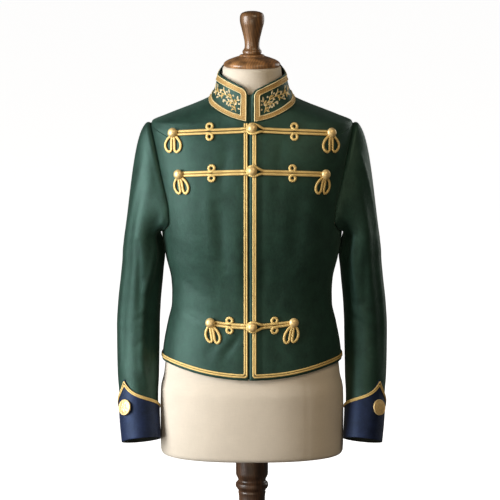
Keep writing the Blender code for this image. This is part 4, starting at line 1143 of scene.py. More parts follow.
def lining(name, colour):
    """Smooth dark cotton with a fine warp."""
    m = Maker(name)
    u, v = m.uv()
    warp = (u * (TAU / (0.7 * MM))).sin() * 0.5 + 0.5
    weft = (v * (TAU / (0.7 * MM))).sin() * 0.5 + 0.5
    tone = (m.noise(14 * MM) * 0.7 + warp * 0.15 + weft * 0.15).clamp()
    base = m.mix(tone, scaled(colour, 0.7), scaled(colour, 1.3))
    normal = m.bump(warp + weft, 0.08 * MM, 0.4)
    return m.finish({"Base Color": base, "Roughness": 0.7 + m.noise(5 * MM) * 0.1, "Normal": normal})


def gold_thread(name, crest, groove):
    """Gilt thread laid in three strands: gold crests, painted shade in brown grooves between them, and
    painted shade on the cord's sides and underside that shows as a brown foot beside the cord.
    """
    m = Maker(name)
    u, v = m.uv()
    # Painted shade: the grooves between the strands are coloured toward the groove colour.
    strand = ((u - v) * (3 * math.pi)).sin().abs()
    fine = ((u * 10.0 + v * 7.5) * TAU).sin() * 0.5 + 0.5
    # Painted shade: crown darkens the cord's sides and underside toward the groove colour and leaves its top
    # in the crest colour.
    crown = ((u * TAU).sin() * 1.7 - 0.3).clamp() * 0.76 + 0.24
    worn = m.noise(9 * MM, 2.0, 0.6)
    fleck = m.noise(1.3 * MM, 2.0, 0.7)
    tone = ((strand * 1.15 + fine * 0.16 + worn * 0.45 + fleck * 0.45 - 0.48) * crown).clamp()
    base = m.mix(tone, groove, crest)
    normal = m.bump(strand * 0.8 + fine * 0.25 + fleck * 0.2, 0.35 * MM, 0.7)
    return m.finish(
        {"Base Color": base, "Roughness": 0.42 + fleck * 0.18, "Normal": normal},
        Metallic=0.30,
        Specular_IOR_Level=0.6,
        Specular_Tint=(1.0, 0.9, 0.68),
    )


def gold_lace(name, crest, groove):
    """Woven gold lace: a twill of brown and gold thread between two pale corded edges."""
    m = Maker(name)
    u, v = m.uv()
    chevron = ((u * (1 / (3.8 * MM)) + (v * (TAU / (4.6 * MM))).sin() * 0.30) * TAU).sin() * 0.5 + 0.5
    fine = ((u - v) * (TAU / (0.8 * MM))).sin() * 0.5 + 0.5
    beads = (v * (math.pi / (1.9 * MM))).sin().abs()
    worn = m.noise(8 * MM, 2.0, 0.6)
    fleck = m.noise(1.3 * MM, 2.0, 0.7)
    tone = (chevron * 0.40 + fine * 0.20 + worn * 0.45 + fleck * 0.55 - 0.46).clamp()
    woven = m.mix(tone, groove, scaled(crest, 0.86))
    edge = ((u * (2 / LACE_TOP_LEG) - 1.0).abs() * 9.0 - 6.1).clamp()
    pale = m.mix((beads * 0.6 + worn * 0.5).clamp(), scaled(crest, 0.62), (1.0, 0.87, 0.53))
    normal = m.bump(chevron * 0.3 + fine * 0.3 + fleck * 0.3 + beads * edge * 0.5, 0.35 * MM, 0.7)
    return m.finish(
        {"Base Color": m.mix(edge, woven, pale), "Roughness": 0.44 + fleck * 0.18, "Normal": normal},
        Metallic=0.25,
        Specular_IOR_Level=0.6,
        Specular_Tint=(1.0, 0.9, 0.68),
    )


def satin_thread(name, crest, groove):
    """Embroidery thread laid side by side across a leaf."""
    m = Maker(name)
    u, v = m.uv()
    thread = (u * (TAU / (0.55 * MM))).sin() * 0.5 + 0.5
    # Painted shade: v is the shade given to each stitched piece, darker down a leaf's middle and on a stalk's
    # sides.
    tone = (thread * 0.35 + v * 0.55 + m.noise(4 * MM) * 0.35 - 0.05).clamp()
    base = m.mix(tone, groove, crest)
    normal = m.bump(thread, 0.18 * MM, 0.8)
    return m.finish({"Base Color": base, "Roughness": 0.38 + thread * 0.1, "Normal": normal}, Metallic=0.25)


def gilt(name, colour):
    """Gilded brass: soft gloss, darker where dirt stays, with a faint hammered skin."""
    m = Maker(name)
    cloud = m.noise(5 * MM, 3.0, 0.6)
    fine = m.noise(0.8 * MM, 2.0, 0.6)
    tone = (cloud * 1.1 + fine * 0.2 - 0.25).clamp()
    base = m.mix(tone, scaled(colour, 0.62), colour)
    normal = m.bump(cloud + fine * 0.25, 0.35 * MM, 0.35)
    linked = {"Base Color": base, "Roughness": 0.34 + fine * 0.16, "Normal": normal}
    return m.finish(linked, Metallic=0.40, Specular_IOR_Level=0.8)


def linen(name, colour):
    """Plain weave: warp and weft threads of uneven thickness, slightly soiled."""
    m = Maker(name)
    u, v = m.uv()
    slub_up = m.noise(1.0, 2.0, 0.6, m.stretched((900.0, 900.0, 60.0)))
    slub_round = m.noise(1.0, 2.0, 0.6, m.stretched((60.0, 60.0, 900.0)))
    warp = (u * (TAU / (1.25 * MM)) + slub_up * 2.0).sin() * 0.5 + 0.5
    weft = (v * (TAU / (1.25 * MM)) + slub_round * 2.0).sin() * 0.5 + 0.5
    soil = m.noise(70 * MM, 4.0, 0.6)
    tone = (warp * 0.18 + weft * 0.18 + slub_up * 0.25 + slub_round * 0.25 + soil * 0.55 - 0.12).clamp()
    base = m.mix(tone, scaled(colour, 0.78), scaled(colour, 1.14))
    normal = m.bump(warp + weft + slub_up * 0.6, 0.16 * MM, 0.55, m.bump(soil, 3 * MM, 0.3))
    linked = {"Base Color": base, "Roughness": 0.86 + slub_up * 0.08, "Normal": normal}
    return m.finish(linked, Sheen_Weight=0.15)


def wood(name, colour, gloss):
    """Turned wood: rings about a leaning axis, bent by noise, with pores drawn along the grain."""
    m = Maker(name)
    bend = m.noise(1.0, 3.0, 0.55, m.stretched((26.0, 26.0, 6.0)))
    x, y, z = m.point()
    away = ((x + z * 0.10 + 0.034) ** 2.0 + (y * 0.85 - z * 0.05 + 0.021) ** 2.0) ** 0.5
    rings = (away * (TAU / (4.6 * MM)) + bend * 9.0).sin() * 0.5 + 0.5
    pores = m.noise(1.0, 3.0, 0.7, m.stretched((1100.0, 1100.0, 55.0)))
    tone = (rings * 0.45 + pores * 0.45 + bend * 0.45 - 0.22).clamp()
    streak = (m.noise(1.0, 3.0, 0.6, m.stretched((60.0, 60.0, 14.0))) * 3.2 - 1.1).clamp()
    base = m.mix(streak, scaled(colour, 0.30), m.mix(tone, scaled(colour, 0.45), scaled(colour, 1.75)))
    normal = m.bump(pores * 0.6 + rings * 0.25, 0.14 * MM, 0.35)
    linked = {"Base Color": base, "Roughness": 0.36 + pores * 0.14, "Normal": normal}
    return m.finish(linked, Coat_Weight=gloss, Coat_Roughness=0.22)


MATERIALS = {}


def material(name):
    """The named material, made at its first use from the scene's colours."""
    colours = bpy.context.scene.hussar_colours
    makers = {
        "green wool": lambda n: wool(n, tuple(colours.green), (0.56, 1.0, 0.88)),
        "navy wool": lambda n: wool(n, tuple(colours.navy), (0.42, 0.60, 1.0), 0.50),
        # Painted shade: the underlap's wool is the green wool darkened to three quarters.
        "underlap wool": lambda n: wool(n, scaled(tuple(colours.green), 0.75), (0.56, 1.0, 0.88)),
        "lining": lambda n: lining(n, tuple(colours.lining)),
        # For the cords and the stitching the second colour is painted shade in the grooves and on the shaded
        # sides; for the lace it is also the brown thread of its twill.
        "gold cord": lambda n: gold_thread(n, tuple(colours.gold), tuple(colours.shade)),
        "gold lace": lambda n: gold_lace(n, tuple(colours.gold), tuple(colours.shade)),
        "gold stitching": lambda n: satin_thread(n, tuple(colours.gold), tuple(colours.shade)),
        "pale stitching": lambda n: satin_thread(n, (0.98, 0.88, 0.62), (0.55, 0.40, 0.18)),
        "gilt": lambda n: gilt(n, tuple(colours.gilt)),
        "linen": lambda n: linen(n, tuple(colours.linen)),
        "brown wood": lambda n: wood(n, tuple(colours.brown), 0.6),
        "finial wood": lambda n: wood(n, scaled(tuple(colours.brown), 0.55), 0.5),
        "dark wood": lambda n: wood(n, tuple(colours.dark), 0.35),
    }
    if name not in MATERIALS:
        MATERIALS[name] = makers[name](name)
    return MATERIALS[name]


def look(*names):
    """The named materials, for a piece's slots in order."""
    return [material(name) for name in names]


class HUSSAR_OT_stage(bpy.types.Operator):
    """Make the pale floor, the soft studio light and the camera"""

    bl_idname = "hussar.stage"
    bl_label = "Stage"

    def execute(self, context):
        scene = context.scene
        scene.view_settings.view_transform = "Standard"
        floor = bpy.data.meshes.new("floor")
        reach = 40.0
        corners = [(-reach, -reach, 0), (reach, -reach, 0), (reach, reach, 0), (-reach, reach, 0)]
        floor.from_pydata(corners, [], [(0, 1, 2, 3)])
        ground = bpy.data.objects.new("floor", floor)
        scene.collection.objects.link(ground)
        m = Maker("studio floor")
        pale = m.mix(m.noise(0.6), (0.90, 0.90, 0.90), (0.92, 0.92, 0.92))
        white = m.finish(
            {"Base Color": pale}, Roughness=0.9, Emission_Color=(1, 1, 1), Emission_Strength=0.93
        )
        floor.materials.append(white)
        ground.visible_diffuse = False
        ground.visible_glossy = False
        world = bpy.data.worlds.new("studio")
        world.use_nodes = True
        background = world.node_tree.nodes["Background"]
        background.inputs["Color"].default_value = (1.0, 0.92, 0.82, 1)
        background.inputs["Strength"].default_value = 0.06
        scene.world = world
        for name, place, aim, width, height, power, colour in (
            ("key", (-2.74, -1.24, 1.30), (0, 0, 0.75), 1.5, 2.4, 172, (1.0, 0.995, 0.985)),
            ("low fill", (-0.5, -3.3, 0.46), (0, 0, 0.7), 1.8, 0.85, 19, (1.0, 0.82, 0.60)),
            ("high fill", (1.3, -2.3, 3.2), (0, 0, 0.7), 1.6, 1.6, 34, (1.0, 0.80, 0.54)),
            ("back", (2.3, 2.1, 1.5), (0, 0, 0.8), 1.2, 2.0, 18, (1.0, 0.97, 0.92)),
        ):
            self.add_light(name, place, aim, width, height, power, colour)
        lens = bpy.data.cameras.new("camera")
        lens.lens = 252.0
        lens.sensor_width = 36.0
        lens.clip_start = 0.5
        lens.clip_end = 80.0
        camera = bpy.data.objects.new("camera", lens)
        scene.collection.objects.link(camera)
        camera.location = (-0.004, -6.923, 1.7450)
        camera.rotation_euler = (math.radians(81.5), 0, 0)
        scene.camera = camera
        return {"FINISHED"}

    def add_light(self, name, place, aim, width, height, power, colour):
        """A soft rectangular lamp at a place, turned toward an aim."""
        lamp = bpy.data.lights.new(name, "AREA")
        lamp.shape = "RECTANGLE"
        lamp.size = width
        lamp.size_y = height
        lamp.energy = power
        lamp.color = colour
        body = bpy.data.objects.new(name, lamp)
        bpy.context.scene.collection.objects.link(body)
        away = unit(np.array(place, float) - np.array(aim, float))
        right = unit(np.cross((0, 0, 1.0), away))
        up = np.cross(away, right)
        turned = Matrix(np.stack((right, up, away), 1).tolist()).to_4x4()
        body.matrix_world = Matrix.Translation(place) @ turned


class HUSSAR_OT_form(bpy.types.Operator):
    """Make the linen dress form with its panel seams"""

    bl_idname = "hussar.form"
    bl_label = "Dress form"
    bottom = 300.0 * MM
    top = 1078.0 * MM
    corner_height = 9.0 * MM
    corner_reach = 6.0 * MM
    seams = (0.9, -29.5, 33.5, 90.0, -90.0, 148.0, -148.0, 180.0)
    # In mm, and rough: it only sets how far a point lies from a seam.
    rough_radius = 150
    groove_depth = 0.55 * MM
    groove_width = 1.2 * MM

    def execute(self, context):
        low = self.bottom + self.corner_height * np.linspace(0, 1, 9) ** 2
        height = np.concatenate((low, np.linspace(self.bottom + self.corner_height, self.top, 132)[1:]))
        angle = np.linspace(-math.pi, math.pi, 193)
        a, h = np.meshgrid(angle, height, indexing="ij")
        below = np.clip((self.bottom + self.corner_height - height) / self.corner_height, 0, 1)
        pulled_in = self.corner_reach * (1 - np.sqrt(1 - below ** 2))
        inset = table_columns(FORM_INSET, height)[0] * MM + pulled_in
        groove = 0
        for seam in self.seams:
            apart = np.abs((a - math.radians(seam) + math.pi) % TAU - math.pi) * self.rough_radius * MM
            groove = groove + self.groove_depth * np.exp(-(apart / self.groove_width) ** 2)
        points = section(a, h) - section_normal(a, h) * (inset[None, :] + groove)[..., None]
        points[:, 0, 2] = self.bottom
        points[:, :len(low), 2] = height[None, :len(low)]
        points[0] = points[-1]
        floor = points[:, :1] * np.array((0, 0, 1.0))
        roof = points[:, -1:] * np.array((0, 0, 1.0))
        piece = Piece("form_linen").add(points)
        piece.add(np.concatenate((floor, points[:, :1]), axis=1))
        piece.add(np.concatenate((points[:, -1:], roof), axis=1))
        piece.finish(look("linen"), "form_body", slot="linen")
        return {"FINISHED"}


class HUSSAR_OT_wood(bpy.types.Operator):
    """Turn the neck cap, its finial, the pole and the round base"""

    bl_idname = "hussar.wood"
    bl_label = "Turned wood"

    def execute(self, context):
        for node, profile, finish, slot in (
            ("neck_cap", NECK_CAP, "brown wood", "brown_wood"),
            ("finial", FINIAL, "finial wood", "brown_wood"),
            ("pole", POLE, "dark wood", "dark_wood"),
            ("base", BASE, "dark wood", "dark_wood"),
        ):
            Piece(node + "_turned").add(turned_grid(profile, 128)).finish(look(finish), node, slot=slot)
        return {"FINISHED"}


class HUSSAR_OT_fronts(bpy.types.Operator):
    """Make the two fronts, pressed in along their seams"""

    bl_idname = "hussar.fronts"
    bl_label = "Fronts"

    def execute(self, context):
        cloth = context.scene.hussar_sizes.cloth
        for side in ("right", "left"):
            points = front_points(side)
            outward = {"last": True} if side == "left" else {"first": True}
            points = seam_dip(points, **outward)
            piece = cloth_shell(Piece("front_%s_wool" % side), points, cloth)
            made = piece.finish(look("green wool", "lining"), "front_" + side, slot="green_wool")
        return {"FINISHED"}


class HUSSAR_OT_back(bpy.types.Operator):
    """Make the back in one width"""

    bl_idname = "hussar.back"
    bl_label = "Back"

    def execute(self, context):
        points = seam_dip(back_points(), first=True, last=True)
        piece = cloth_shell(Piece("back_wool"), points, context.scene.hussar_sizes.cloth)
        made = piece.finish(look("green wool", "lining"), "back", slot="green_wool")
        return {"FINISHED"}


class HUSSAR_OT_underlap(bpy.types.Operator):
    """Make the strip behind the front opening, its wool a darker copy of the green as painted shade"""

    bl_idname = "hussar.underlap"
    bl_label = "Underlap"

    def execute(self, context):
        piece = cloth_shell(Piece("underlap_wool"), underlap_points(), context.scene.hussar_sizes.cloth)
        made = piece.finish(look("underlap wool", "lining"), "underlap", slot="dark_wool")
        return {"FINISHED"}


class HUSSAR_OT_collar(bpy.types.Operator):
    """Make the standing collar"""

    bl_idname = "hussar.collar"
    bl_label = "Collar"

    def execute(self, context):
        angle, part = np.meshgrid(collar_columns(0.0, 0.0), np.linspace(0, 1, 26), indexing="ij")
        points = collar_point(angle, collar_corner(angle, part), np.zeros(angle.shape))
        piece = cloth_shell(Piece("collar_wool"), points, context.scene.hussar_sizes.cloth)
        made = piece.finish(look("green wool", "lining"), "collar", slot="green_wool")
        return {"FINISHED"}


class HUSSAR_OT_lace(bpy.types.Operator):
    """Lay the flat lace round the collar's edges, mitred at its corners"""

    bl_idname = "hussar.lace"
    bl_label = "Collar lace"

    def execute(self, context):
        across = np.linspace(0, 1, 25)
        ridge = np.exp(-((np.abs(2 * across - 1) - 0.82) / 0.13) ** 2)
        thick = (0.75 + 1.0 * ridge + 0.25 * np.cos(3 * TAU * across) ** 2) * MM
        angle, part = (
            (1 - across)[:, None] * outer + across[:, None] * inner
            for outer, inner in zip(*self.frame_lines())
        )
        top = collar_point(angle, part, np.broadcast_to(0.5 * MM + thick[:, None], angle.shape))
        under = collar_point(angle, part, np.full(angle.shape, 0.3 * MM))
        long_way = way_along(top[len(across) // 2])
        width = across * LACE_TOP_LEG
        uv = np.stack(np.meshgrid(width, long_way, indexing="ij"), -1)
        ring = np.concatenate((under[:1], top, under[::-1]))
        ring_uv = np.concatenate((uv[:1], uv, uv[::-1]))
        piece = Piece("collar_lace_braid").add(ring[::-1], ring_uv[::-1])
        piece.finish(look("gold lace"), "collar_lace", slot="gold_braid")
        return {"FINISHED"}

    def frame_lines(self):
        """The frame's outer and inner edge as turns and parts: round the foot, and back along the top."""
        columns = collar_columns(LACE_END_RIM["left"], LACE_END_RIM["right"], 290)
        leg = LACE_FRONT_LEG / COLLAR_TOP_FRONT_DEPTH
        span = columns[-1] - columns[0]
        inner = columns[0] + leg + (columns - columns[0]) * (span - 2 * leg) / span
        rise = np.linspace(0, 1, 30)[1:-1]
        lines = []
        for turn, below, above, corner in (
            (columns, LACE_FOOT_RIM, LACE_RIM, LACE_CORNERS[0]),
            (inner, LACE_FOOT_RIM + LACE_BOTTOM_LEG, LACE_RIM + LACE_TOP_LEG, LACE_CORNERS[1]),
        ):
            from_end = np.minimum(turn - turn[0], turn[-1] - turn) * COLLAR_TOP_FRONT_DEPTH
            low = below / collar_height(turn)
            high = 1 - (above + round_corner(corner, from_end)) / collar_height(turn)
            climb = low[-1] + rise * (high[-1] - low[-1])
            fall = high[0] + rise * (low[0] - high[0])
            lines.append((
                np.concatenate((turn, 0 * rise + turn[-1], turn[::-1], 0 * rise + turn[0], turn[:1])),
                np.concatenate((low, climb, high[::-1], fall, low[:1])),
            ))
        return lines


class HUSSAR_OT_embroidery(bpy.types.Operator):
    """Stitch a leafy spray on each side of the collar"""

    bl_idname = "hussar.embroidery"
    bl_label = "Embroidery"

    def execute(self, context):
        gold = Piece("spray_gold")
        pale = Piece("spray_pale")
        for mirrored in (False, True):
            self.spray(gold, pale, mirrored)
        gold.finish(look("gold stitching"), slot="gold_braid")
        pale.finish(look("pale stitching"), slot="gold_braid")
        return {"FINISHED"}

    def on_collar(self, flat, lift, mirrored):
        """Points of the flat pattern (round in radians times the radius, up in metres) on the collar."""
        turn = flat[..., 0] / COLLAR_RADIUS
        left = (COLLAR_END["left"] + LACE_END_RIM["left"]) / COLLAR_TOP_HALF_WIDTH
        right = (COLLAR_END["right"] - LACE_END_RIM["right"]) / COLLAR_TOP_HALF_WIDTH
        turn = (math.asin(left) + math.asin(right)) / 2 + (-turn if mirrored else turn)
        return collar_point(turn, flat[..., 1] / collar_height(turn), lift)

    def spray(self, gold, pale, mirrored):
        """Stalks with leaves on alternate sides and one at the end, and round buds between them."""
        for width, apart, length, corners in SPRAY_STALKS:
            stalk = curve_through(np.array(corners) * MM, 0.5 * MM)
            self.stalk(gold, stalk, width * MM, mirrored)
            heading = np.gradient(stalk, axis=0)
            way = np.arctan2(heading[:, 1], heading[:, 0])
            step = round(apart / 0.5)
            for number, place in enumerate(range(step, len(stalk) - 4, step)):
                side = 1 if number % 2 else -1
                toward = way[place] + side * math.radians(52)
                piece = pale if number % 3 else gold
                self.leaf(piece, stalk[place], toward, length * MM, 0.45 * length * MM, mirrored)
            self.leaf(pale, stalk[-2], way[-1], 1.1 * length * MM, 0.48 * length * MM, mirrored)
        for place in SPRAY_BUDS:
            root = np.array(place) * MM - np.array((2.2 * MM, 0))
            self.leaf(pale, root, 0.0, 4.4 * MM, 3.9 * MM, mirrored)

    def stalk(self, piece, flat, width, mirrored):
        """A stitched line: a low half-round ridge along a flat path."""
        heading = unit(np.gradient(flat, axis=0))
        beside = np.stack((-heading[:, 1], heading[:, 0]), -1)
        taper = np.sin(np.linspace(0.12, math.pi - 0.12, len(flat)))[:, None] ** 0.3
        turn = np.linspace(0, math.pi, 7)
        offset = np.cos(turn)[:, None, None] * beside * taper * width / 2
        lift = np.sin(turn)[:, None] * taper[:, 0] * width * 0.55 + 0.15 * MM
        # Painted shade: the stitched line's sides get the dark stitching colour and its top the light one.
        self.dome(piece, flat[None] + offset, lift, np.sin(turn)[:, None] + 0 * lift, mirrored)

    def leaf(self, piece, root, toward, length, width, mirrored):
        """A satin-stitched leaf: width times sine to the 0.8 along it, domed, with a sunk middle vein."""
        ahead = np.array((math.cos(toward), math.sin(toward)))
        beside = np.array((-ahead[1], ahead[0]))
        along = np.linspace(0, 1, 15)
        across = np.linspace(1, -1, 9)
        half = width / 2 * np.sin(math.pi * along ** 0.85) ** 0.8 + 0.1 * MM
        flat = root + ahead * (along * length)[None, :, None] + beside * (across[:, None] * half)[..., None]
        arch = 0.9 * MM * np.sqrt(np.clip(1 - across ** 2, 0, 1))[:, None]
        lift = 0.15 * MM + arch * (half / half.max()) ** 0.5
        vein = 0.30 * MM * np.exp(-(across[:, None] / 0.18) ** 2) * np.sin(math.pi * along)
        # Painted shade: the leaf is darker down its middle along the sunk vein and lighter toward its edges.
        self.dome(piece, flat, lift - vein, np.abs(across)[:, None] + 0 * lift, mirrored)

    def dome(self, piece, flat, lift, shade, mirrored):
        """A closed low relief: the lifted grid and the same grid on the cloth under it."""
        top = self.on_collar(flat, lift, mirrored)
        foot = self.on_collar(flat, np.full(lift.shape, 0.02 * MM), mirrored)
        steps = np.broadcast_to(np.arange(flat.shape[1]) * 0.5 * MM, lift.shape)
        uv = np.stack((steps, np.clip(shade, 0, 1)), -1)
        ring = np.concatenate((foot[:1], top, foot[::-1]))
        ring_uv = np.concatenate((uv[:1], uv, uv[::-1]))
        first_pole = ring[:, :1].mean(axis=0, keepdims=True) + 0 * ring[:, :1]
        last_pole = ring[:, -1:].mean(axis=0, keepdims=True) + 0 * ring[:, -1:]
        ring = np.concatenate((first_pole, ring, last_pole), axis=1)
        ring_uv = np.concatenate((ring_uv[:, :1], ring_uv, ring_uv[:, -1:]), axis=1)
        if mirrored:
            piece.add(ring[::-1], ring_uv[::-1])
        else:
            piece.add(ring, ring_uv)


class HUSSAR_OT_sleeves(bpy.types.Operator):
    """Make both sleeves, with roped heads and soft folds"""

    bl_idname = "hussar.sleeves"
    bl_label = "Sleeves"

    def execute(self, context):
        cloth = context.scene.hussar_sizes.cloth
        for side in ("right", "left"):
            points = sleeve_points(side)[::-1]
            piece = cloth_shell(Piece("sleeve_%s_wool" % side), points, cloth, closed=True)
            if side == "right":
                piece.mirror()
            made = piece.finish(look("green wool", "lining"), "sleeve_" + side, slot="green_wool")
        return {"FINISHED"}


class HUSSAR_OT_cuffs(bpy.types.Operator):
    """Make the pointed cuffs and the braid along their upper edges"""

    bl_idname = "hussar.cuffs"
    bl_label = "Cuffs"

    def execute(self, context):
        sizes = context.scene.hussar_sizes
        for side in ("right", "left"):
            points = self.cuff_points(sizes.cloth)
            piece = cloth_shell(Piece("cuff_%s_wool" % side), points, sizes.cloth, closed=True)
            braid = Piece("cuff_braid_%s_cords" % side)
            for number, way in ((0, 1), (1, -1)):
                path, up = self.braid_path((number + 0.5) * sizes.cuff_cord + 0.2 * MM)
                add_cord(braid, path, up, sizes.cuff_cord, 1.7 * MM, way=way, sides=12)
            if side == "right":
                piece.mirror()
                braid.mirror()
            made = piece.finish(look("navy wool", "lining"), "cuff_" + side, slot="navy_wool")
            braid.finish(look("gold cord"), "cuff_braid_" + side, slot="gold_braid")
        return {"FINISHED"}

    def cuff_points(self, cloth):
        """The cuff between its slanted foot and its pointed top, a little outside the sleeve."""
        turn = CUFF_POINT_ANGLE - math.pi + np.linspace(0, TAU, 161)
        low = CUFF_END - CUFF_SLANT * np.cos(turn)
        up = crowd(30, 0.5)[None, :]
        height = low[:, None] + up * (cuff_edge(turn)[0] - low)[:, None]
        around = np.broadcast_to(turn[:, None], height.shape)
        return sleeve_ring(around, height, np.full(height.shape, 0.6 * MM + cloth))[::-1]

    def braid_path(self, drop):
        """A line round the cuff, a drop below its upper edge measured square to that edge."""
        turn = CUFF_POINT_ANGLE - math.pi + np.linspace(0, TAU, 360)
        edge, slope = cuff_edge(turn)
        height = edge - drop * np.sqrt(1 + slope ** 2)
        lift = CUFF_SKIN + CUFF_BRAID_LIFT
        path = sleeve_ring(turn, height, np.full(turn.shape, lift))
        outward = sleeve_ring(turn, height, np.full(turn.shape, lift + 5 * MM)) - path
        return path, unit(outward)


class HUSSAR_OT_edges(bpy.types.Operator):
    """Lay the double cord down each front edge and along the hem"""

    bl_idname = "hussar.edges"
    bl_label = "Edge braid"
    # Rough: it only evens out the steps along the path.
    rough_radius = 0.11
    step = 1.1 * MM
    lift = 1.25 * MM
    below_neck = 1.2 * MM
    turn_in = 2.5 * MM

    def execute(self, context):
        cord = context.scene.hussar_sizes.edge_cord
        for side in ("right", "left"):
            piece = Piece("edge_braid_%s_cords" % side)
            for number, way in ((0, 1), (1, -1)):
                path, up = self.path(side, (number + 0.5) * cord + number * 0.5 * MM)
                add_cord(piece, path, up, cord, 2.4 * MM, way=way, sides=12)
            piece.finish(look("gold cord"), "edge_braid_" + side, slot="gold_braid")
        return {"FINISHED"}

    def path(self, side, drop):
        """Down the front edge, round the lower corner and along the hem to the centre back."""
        sign = 1.0 if side == "left" else -1.0
        edge_x = sign * BRAID_EDGE[side] + drop
        top = NECK_FRONT - self.below_neck
        corner_angle = float(angle_at(edge_x, np.array(HEM_SIDE)))
        corner = float(hem_height(np.array(corner_angle))) + BRAID_HEM_MARGIN + drop
        down = np.linspace(top, corner + self.turn_in, 500)
        start = float(angle_at(edge_x + self.turn_in, np.array(corner)))
        along = np.linspace(start, math.pi - 0.0014, 900)
        angle = np.concatenate((angle_at(edge_x + 0 * down, down), along))
        height = np.concatenate((down, hem_height(along) + BRAID_HEM_MARGIN + drop))
        fine = np.stack((angle * self.rough_radius, height), -1)
        length = way_along(fine)
        even = np.linspace(0, length[-1], round(length[-1] / self.step))
        angle = np.interp(even, length, angle)
        height = np.interp(even, length, height)
        path = jacket(angle * sign, height, np.full(angle.shape, self.lift))
        return path, section_normal(angle * sign, height)


def frog_base(x):
    """The frogs lie on the cloth, and climb over the edge braid near the centre."""
    return (0.1 + 2.0 * (1 - smooth_step(15 * MM, 24 * MM, np.abs(x)))) * MM


class HUSSAR_OT_frogs(bpy.types.Operator):
    """Lay the double cords with their eyelets, hanging loops and button loops"""

    bl_idname = "hussar.frogs"
    bl_label = "Frogs"
    height = 3.6 * MM
    right_start = 7.0
    cord_out = 2.75

    def execute(self, context):
        for row in FROGS:
            for side in ("right", "left"):
                piece = Piece("frog_%s_%s_cords" % (row[0], side))
                for flat, way in self.cords(row, side):
                    self.lay(piece, row, side, flat, way)
                piece.finish(look("gold cord"), "frog_%s_%s" % (row[0], side), slot="gold_braid")
        return {"FINISHED"}

    def cords(self, row, side):
        """The flat cords of half a frog: out from the centre, up from the bar, and lift, in mm."""
        _, centre, eyelet, knob, _, button, wide, hang, lean = row
        bar = [(eyelet + x, y, lift) for x, y, lift in EYELET_PATH]
        out = [(knob - 11, self.cord_out, 0.0), (knob - 5, 2.6, 0.0), (knob + 1, 1.2, 0.0)]
        if side == "right":
            upper = [(x, self.cord_out, 0.0) for x in (self.right_start, 14, 22)] + bar + out
            lower = [(x, -y, lift) for x, y, lift in upper]
            bars = [(upper, 1), (lower, -1)]
        else:
            rise = button - centre
            loop = [(x + 0.5, y + rise * max(0.0, 1 - max(x, 0) / 26), 0.8) for x, y in BUTTON_LOOP]
            under = [(x + 0.5, -y + rise * max(0.0, 1 - max(x, 0) / 26), 0.8) for x, y in BUTTON_LOOP[:0:-1]]
            lower_bar = [(x, -y, lift) for x, y, lift in reversed(bar + out)]
            bars = [(lower_bar + under + loop + bar + out, 1)]
        loops = []
        for mirror in (1, -1):
            lift = 0.0 if mirror > 0 else 0.5
            path = [
                (knob + mirror * x * wide - lean * y * hang, -y * hang, z + lift) for x, y, z in LOOP_PATH
            ]
            loops.append((path, mirror))
        return bars + loops

    def lay(self, piece, row, side, flat, way):
        """Bend a flat cord to the jacket and add it."""
        _, centre, _, knob, knob_rise, _, _, _, _ = row
        sign = 1.0 if side == "left" else -1.0
        line = curve_through(flat, 0.75) * MM
        share = np.clip(line[:, 0], 0, knob * MM) / (knob * MM)
        x = sign * line[:, 0]
        z = centre * MM + knob_rise * MM * share ** 2 + line[:, 1]
        angle = angle_at(x, z)
        path = jacket(angle, z, frog_base(x) + self.height / 2 + line[:, 2])
        width = bpy.context.scene.hussar_sizes.bar_cord
        add_cord(piece, path, section_normal(angle, z), width, self.height, way=way * int(sign))


class HUSSAR_OT_buttons(bpy.types.Operator):
    """Set the gilt centre buttons and the end knobs"""

    bl_idname = "hussar.buttons"
    bl_label = "Buttons"

    def execute(self, context):
        for name, centre, _, knob, knob_rise, button, _, _, _ in FROGS:
            self.set_button("button_" + name, CENTRE_BUTTON, 0.5, button, CENTRE_BUTTON_LIFT)
            for side, sign in (("left", 1.0), ("right", -1.0)):
                node = "knob_%s_%s" % (name, side)
                self.set_button(node, END_KNOB, sign * knob, centre + knob_rise, END_KNOB_LIFT)
        return {"FINISHED"}

    def set_button(self, node, profile, x, z, lift):
        """A turned button on the jacket, facing out of it."""
        height = np.array(z * MM)
        angle = angle_at(np.array(x * MM), height)
        place = jacket(angle, height, np.array(lift))
        points = stand_on(turned_grid(profile, 48), place, section_normal(angle, height))
        Piece(node + "_gilt").add(points).finish(look("gilt"), node, slot="gilt")


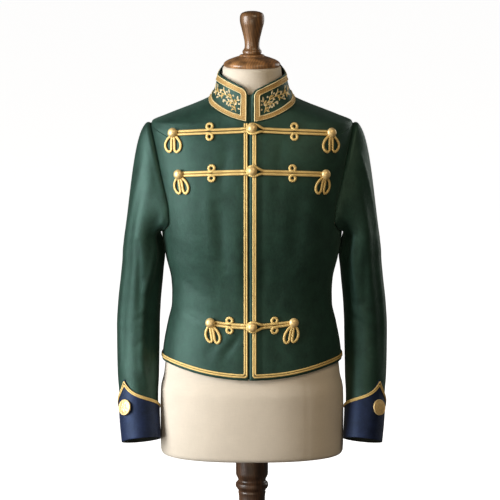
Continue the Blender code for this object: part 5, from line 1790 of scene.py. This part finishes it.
class HUSSAR_OT_cuff_buttons(bpy.types.Operator):
    """Set the large cuff buttons, with a rosette inside a rim"""

    bl_idname = "hussar.cuff_buttons"
    bl_label = "Cuff buttons"

    def execute(self, context):
        for side, sign in (("left", 1.0), ("right", -1.0)):
            points = turned_grid(CUFF_BUTTON, 96, per_step=6)
            radius = np.hypot(points[..., 0], points[..., 1])
            turn = np.arctan2(points[..., 1], points[..., 0])
            petal = np.cos(4 * turn) ** 2 * np.exp(-((radius - 7.5 * MM) / (3.2 * MM)) ** 2)
            eye = np.exp(-(radius / (2.2 * MM)) ** 2)
            on_top = points[..., 2] > 3.0 * MM
            points[..., 2] += np.where(on_top, (0.75 * petal + 0.6 * eye) * MM, 0)
            height = np.array(CUFF_BUTTON_HEIGHT)
            turn = np.array(CUFF_POINT_ANGLE)
            place = sleeve_ring(turn, height, np.array(CUFF_BUTTON_LIFT))
            out = place - sleeve_ring(turn, height, np.array(0.0))
            flip = np.array((sign, 1.0, 1.0))
            points = stand_on(points, place * flip, out * flip)
            node = "cuff_button_" + side
            Piece(node + "_gilt").add(points).finish(look("gilt"), node, slot="gilt")
        return {"FINISHED"}


OPERATORS = (
    HUSSAR_OT_stage,
    HUSSAR_OT_form,
    HUSSAR_OT_wood,
    HUSSAR_OT_fronts,
    HUSSAR_OT_back,
    HUSSAR_OT_underlap,
    HUSSAR_OT_collar,
    HUSSAR_OT_lace,
    HUSSAR_OT_embroidery,
    HUSSAR_OT_sleeves,
    HUSSAR_OT_cuffs,
    HUSSAR_OT_edges,
    HUSSAR_OT_frogs,
    HUSSAR_OT_buttons,
    HUSSAR_OT_cuff_buttons,
)


class HUSSAR_PT_panel(bpy.types.Panel):
    """The jacket's sizes, colours and pieces"""

    bl_idname = "HUSSAR_PT_panel"
    bl_label = "Hussar jacket"
    bl_space_type = "VIEW_3D"
    bl_region_type = "UI"
    bl_category = "Jacket"

    def draw(self, context):
        layout = self.layout
        for group in (context.scene.hussar_sizes, context.scene.hussar_colours):
            for name in group.__annotations__:
                layout.prop(group, name)
        for operator in OPERATORS:
            layout.operator(operator.bl_idname)


def register():
    """Add the settings, the operators and the panel."""
    for part in (HussarSizes, HussarColours, *OPERATORS, HUSSAR_PT_panel):
        bpy.utils.register_class(part)
    bpy.types.Scene.hussar_sizes = PointerProperty(type=HussarSizes)
    bpy.types.Scene.hussar_colours = PointerProperty(type=HussarColours)


def unregister():
    """Take away what register added."""
    del bpy.types.Scene.hussar_colours
    del bpy.types.Scene.hussar_sizes
    for part in (HUSSAR_PT_panel, *reversed(OPERATORS), HussarColours, HussarSizes):
        bpy.utils.unregister_class(part)


def main():
    register()
    for operator in OPERATORS:
        family, name = operator.bl_idname.split(".")
        getattr(getattr(bpy.ops, family), name)()


if __name__ == "__main__":
    main()
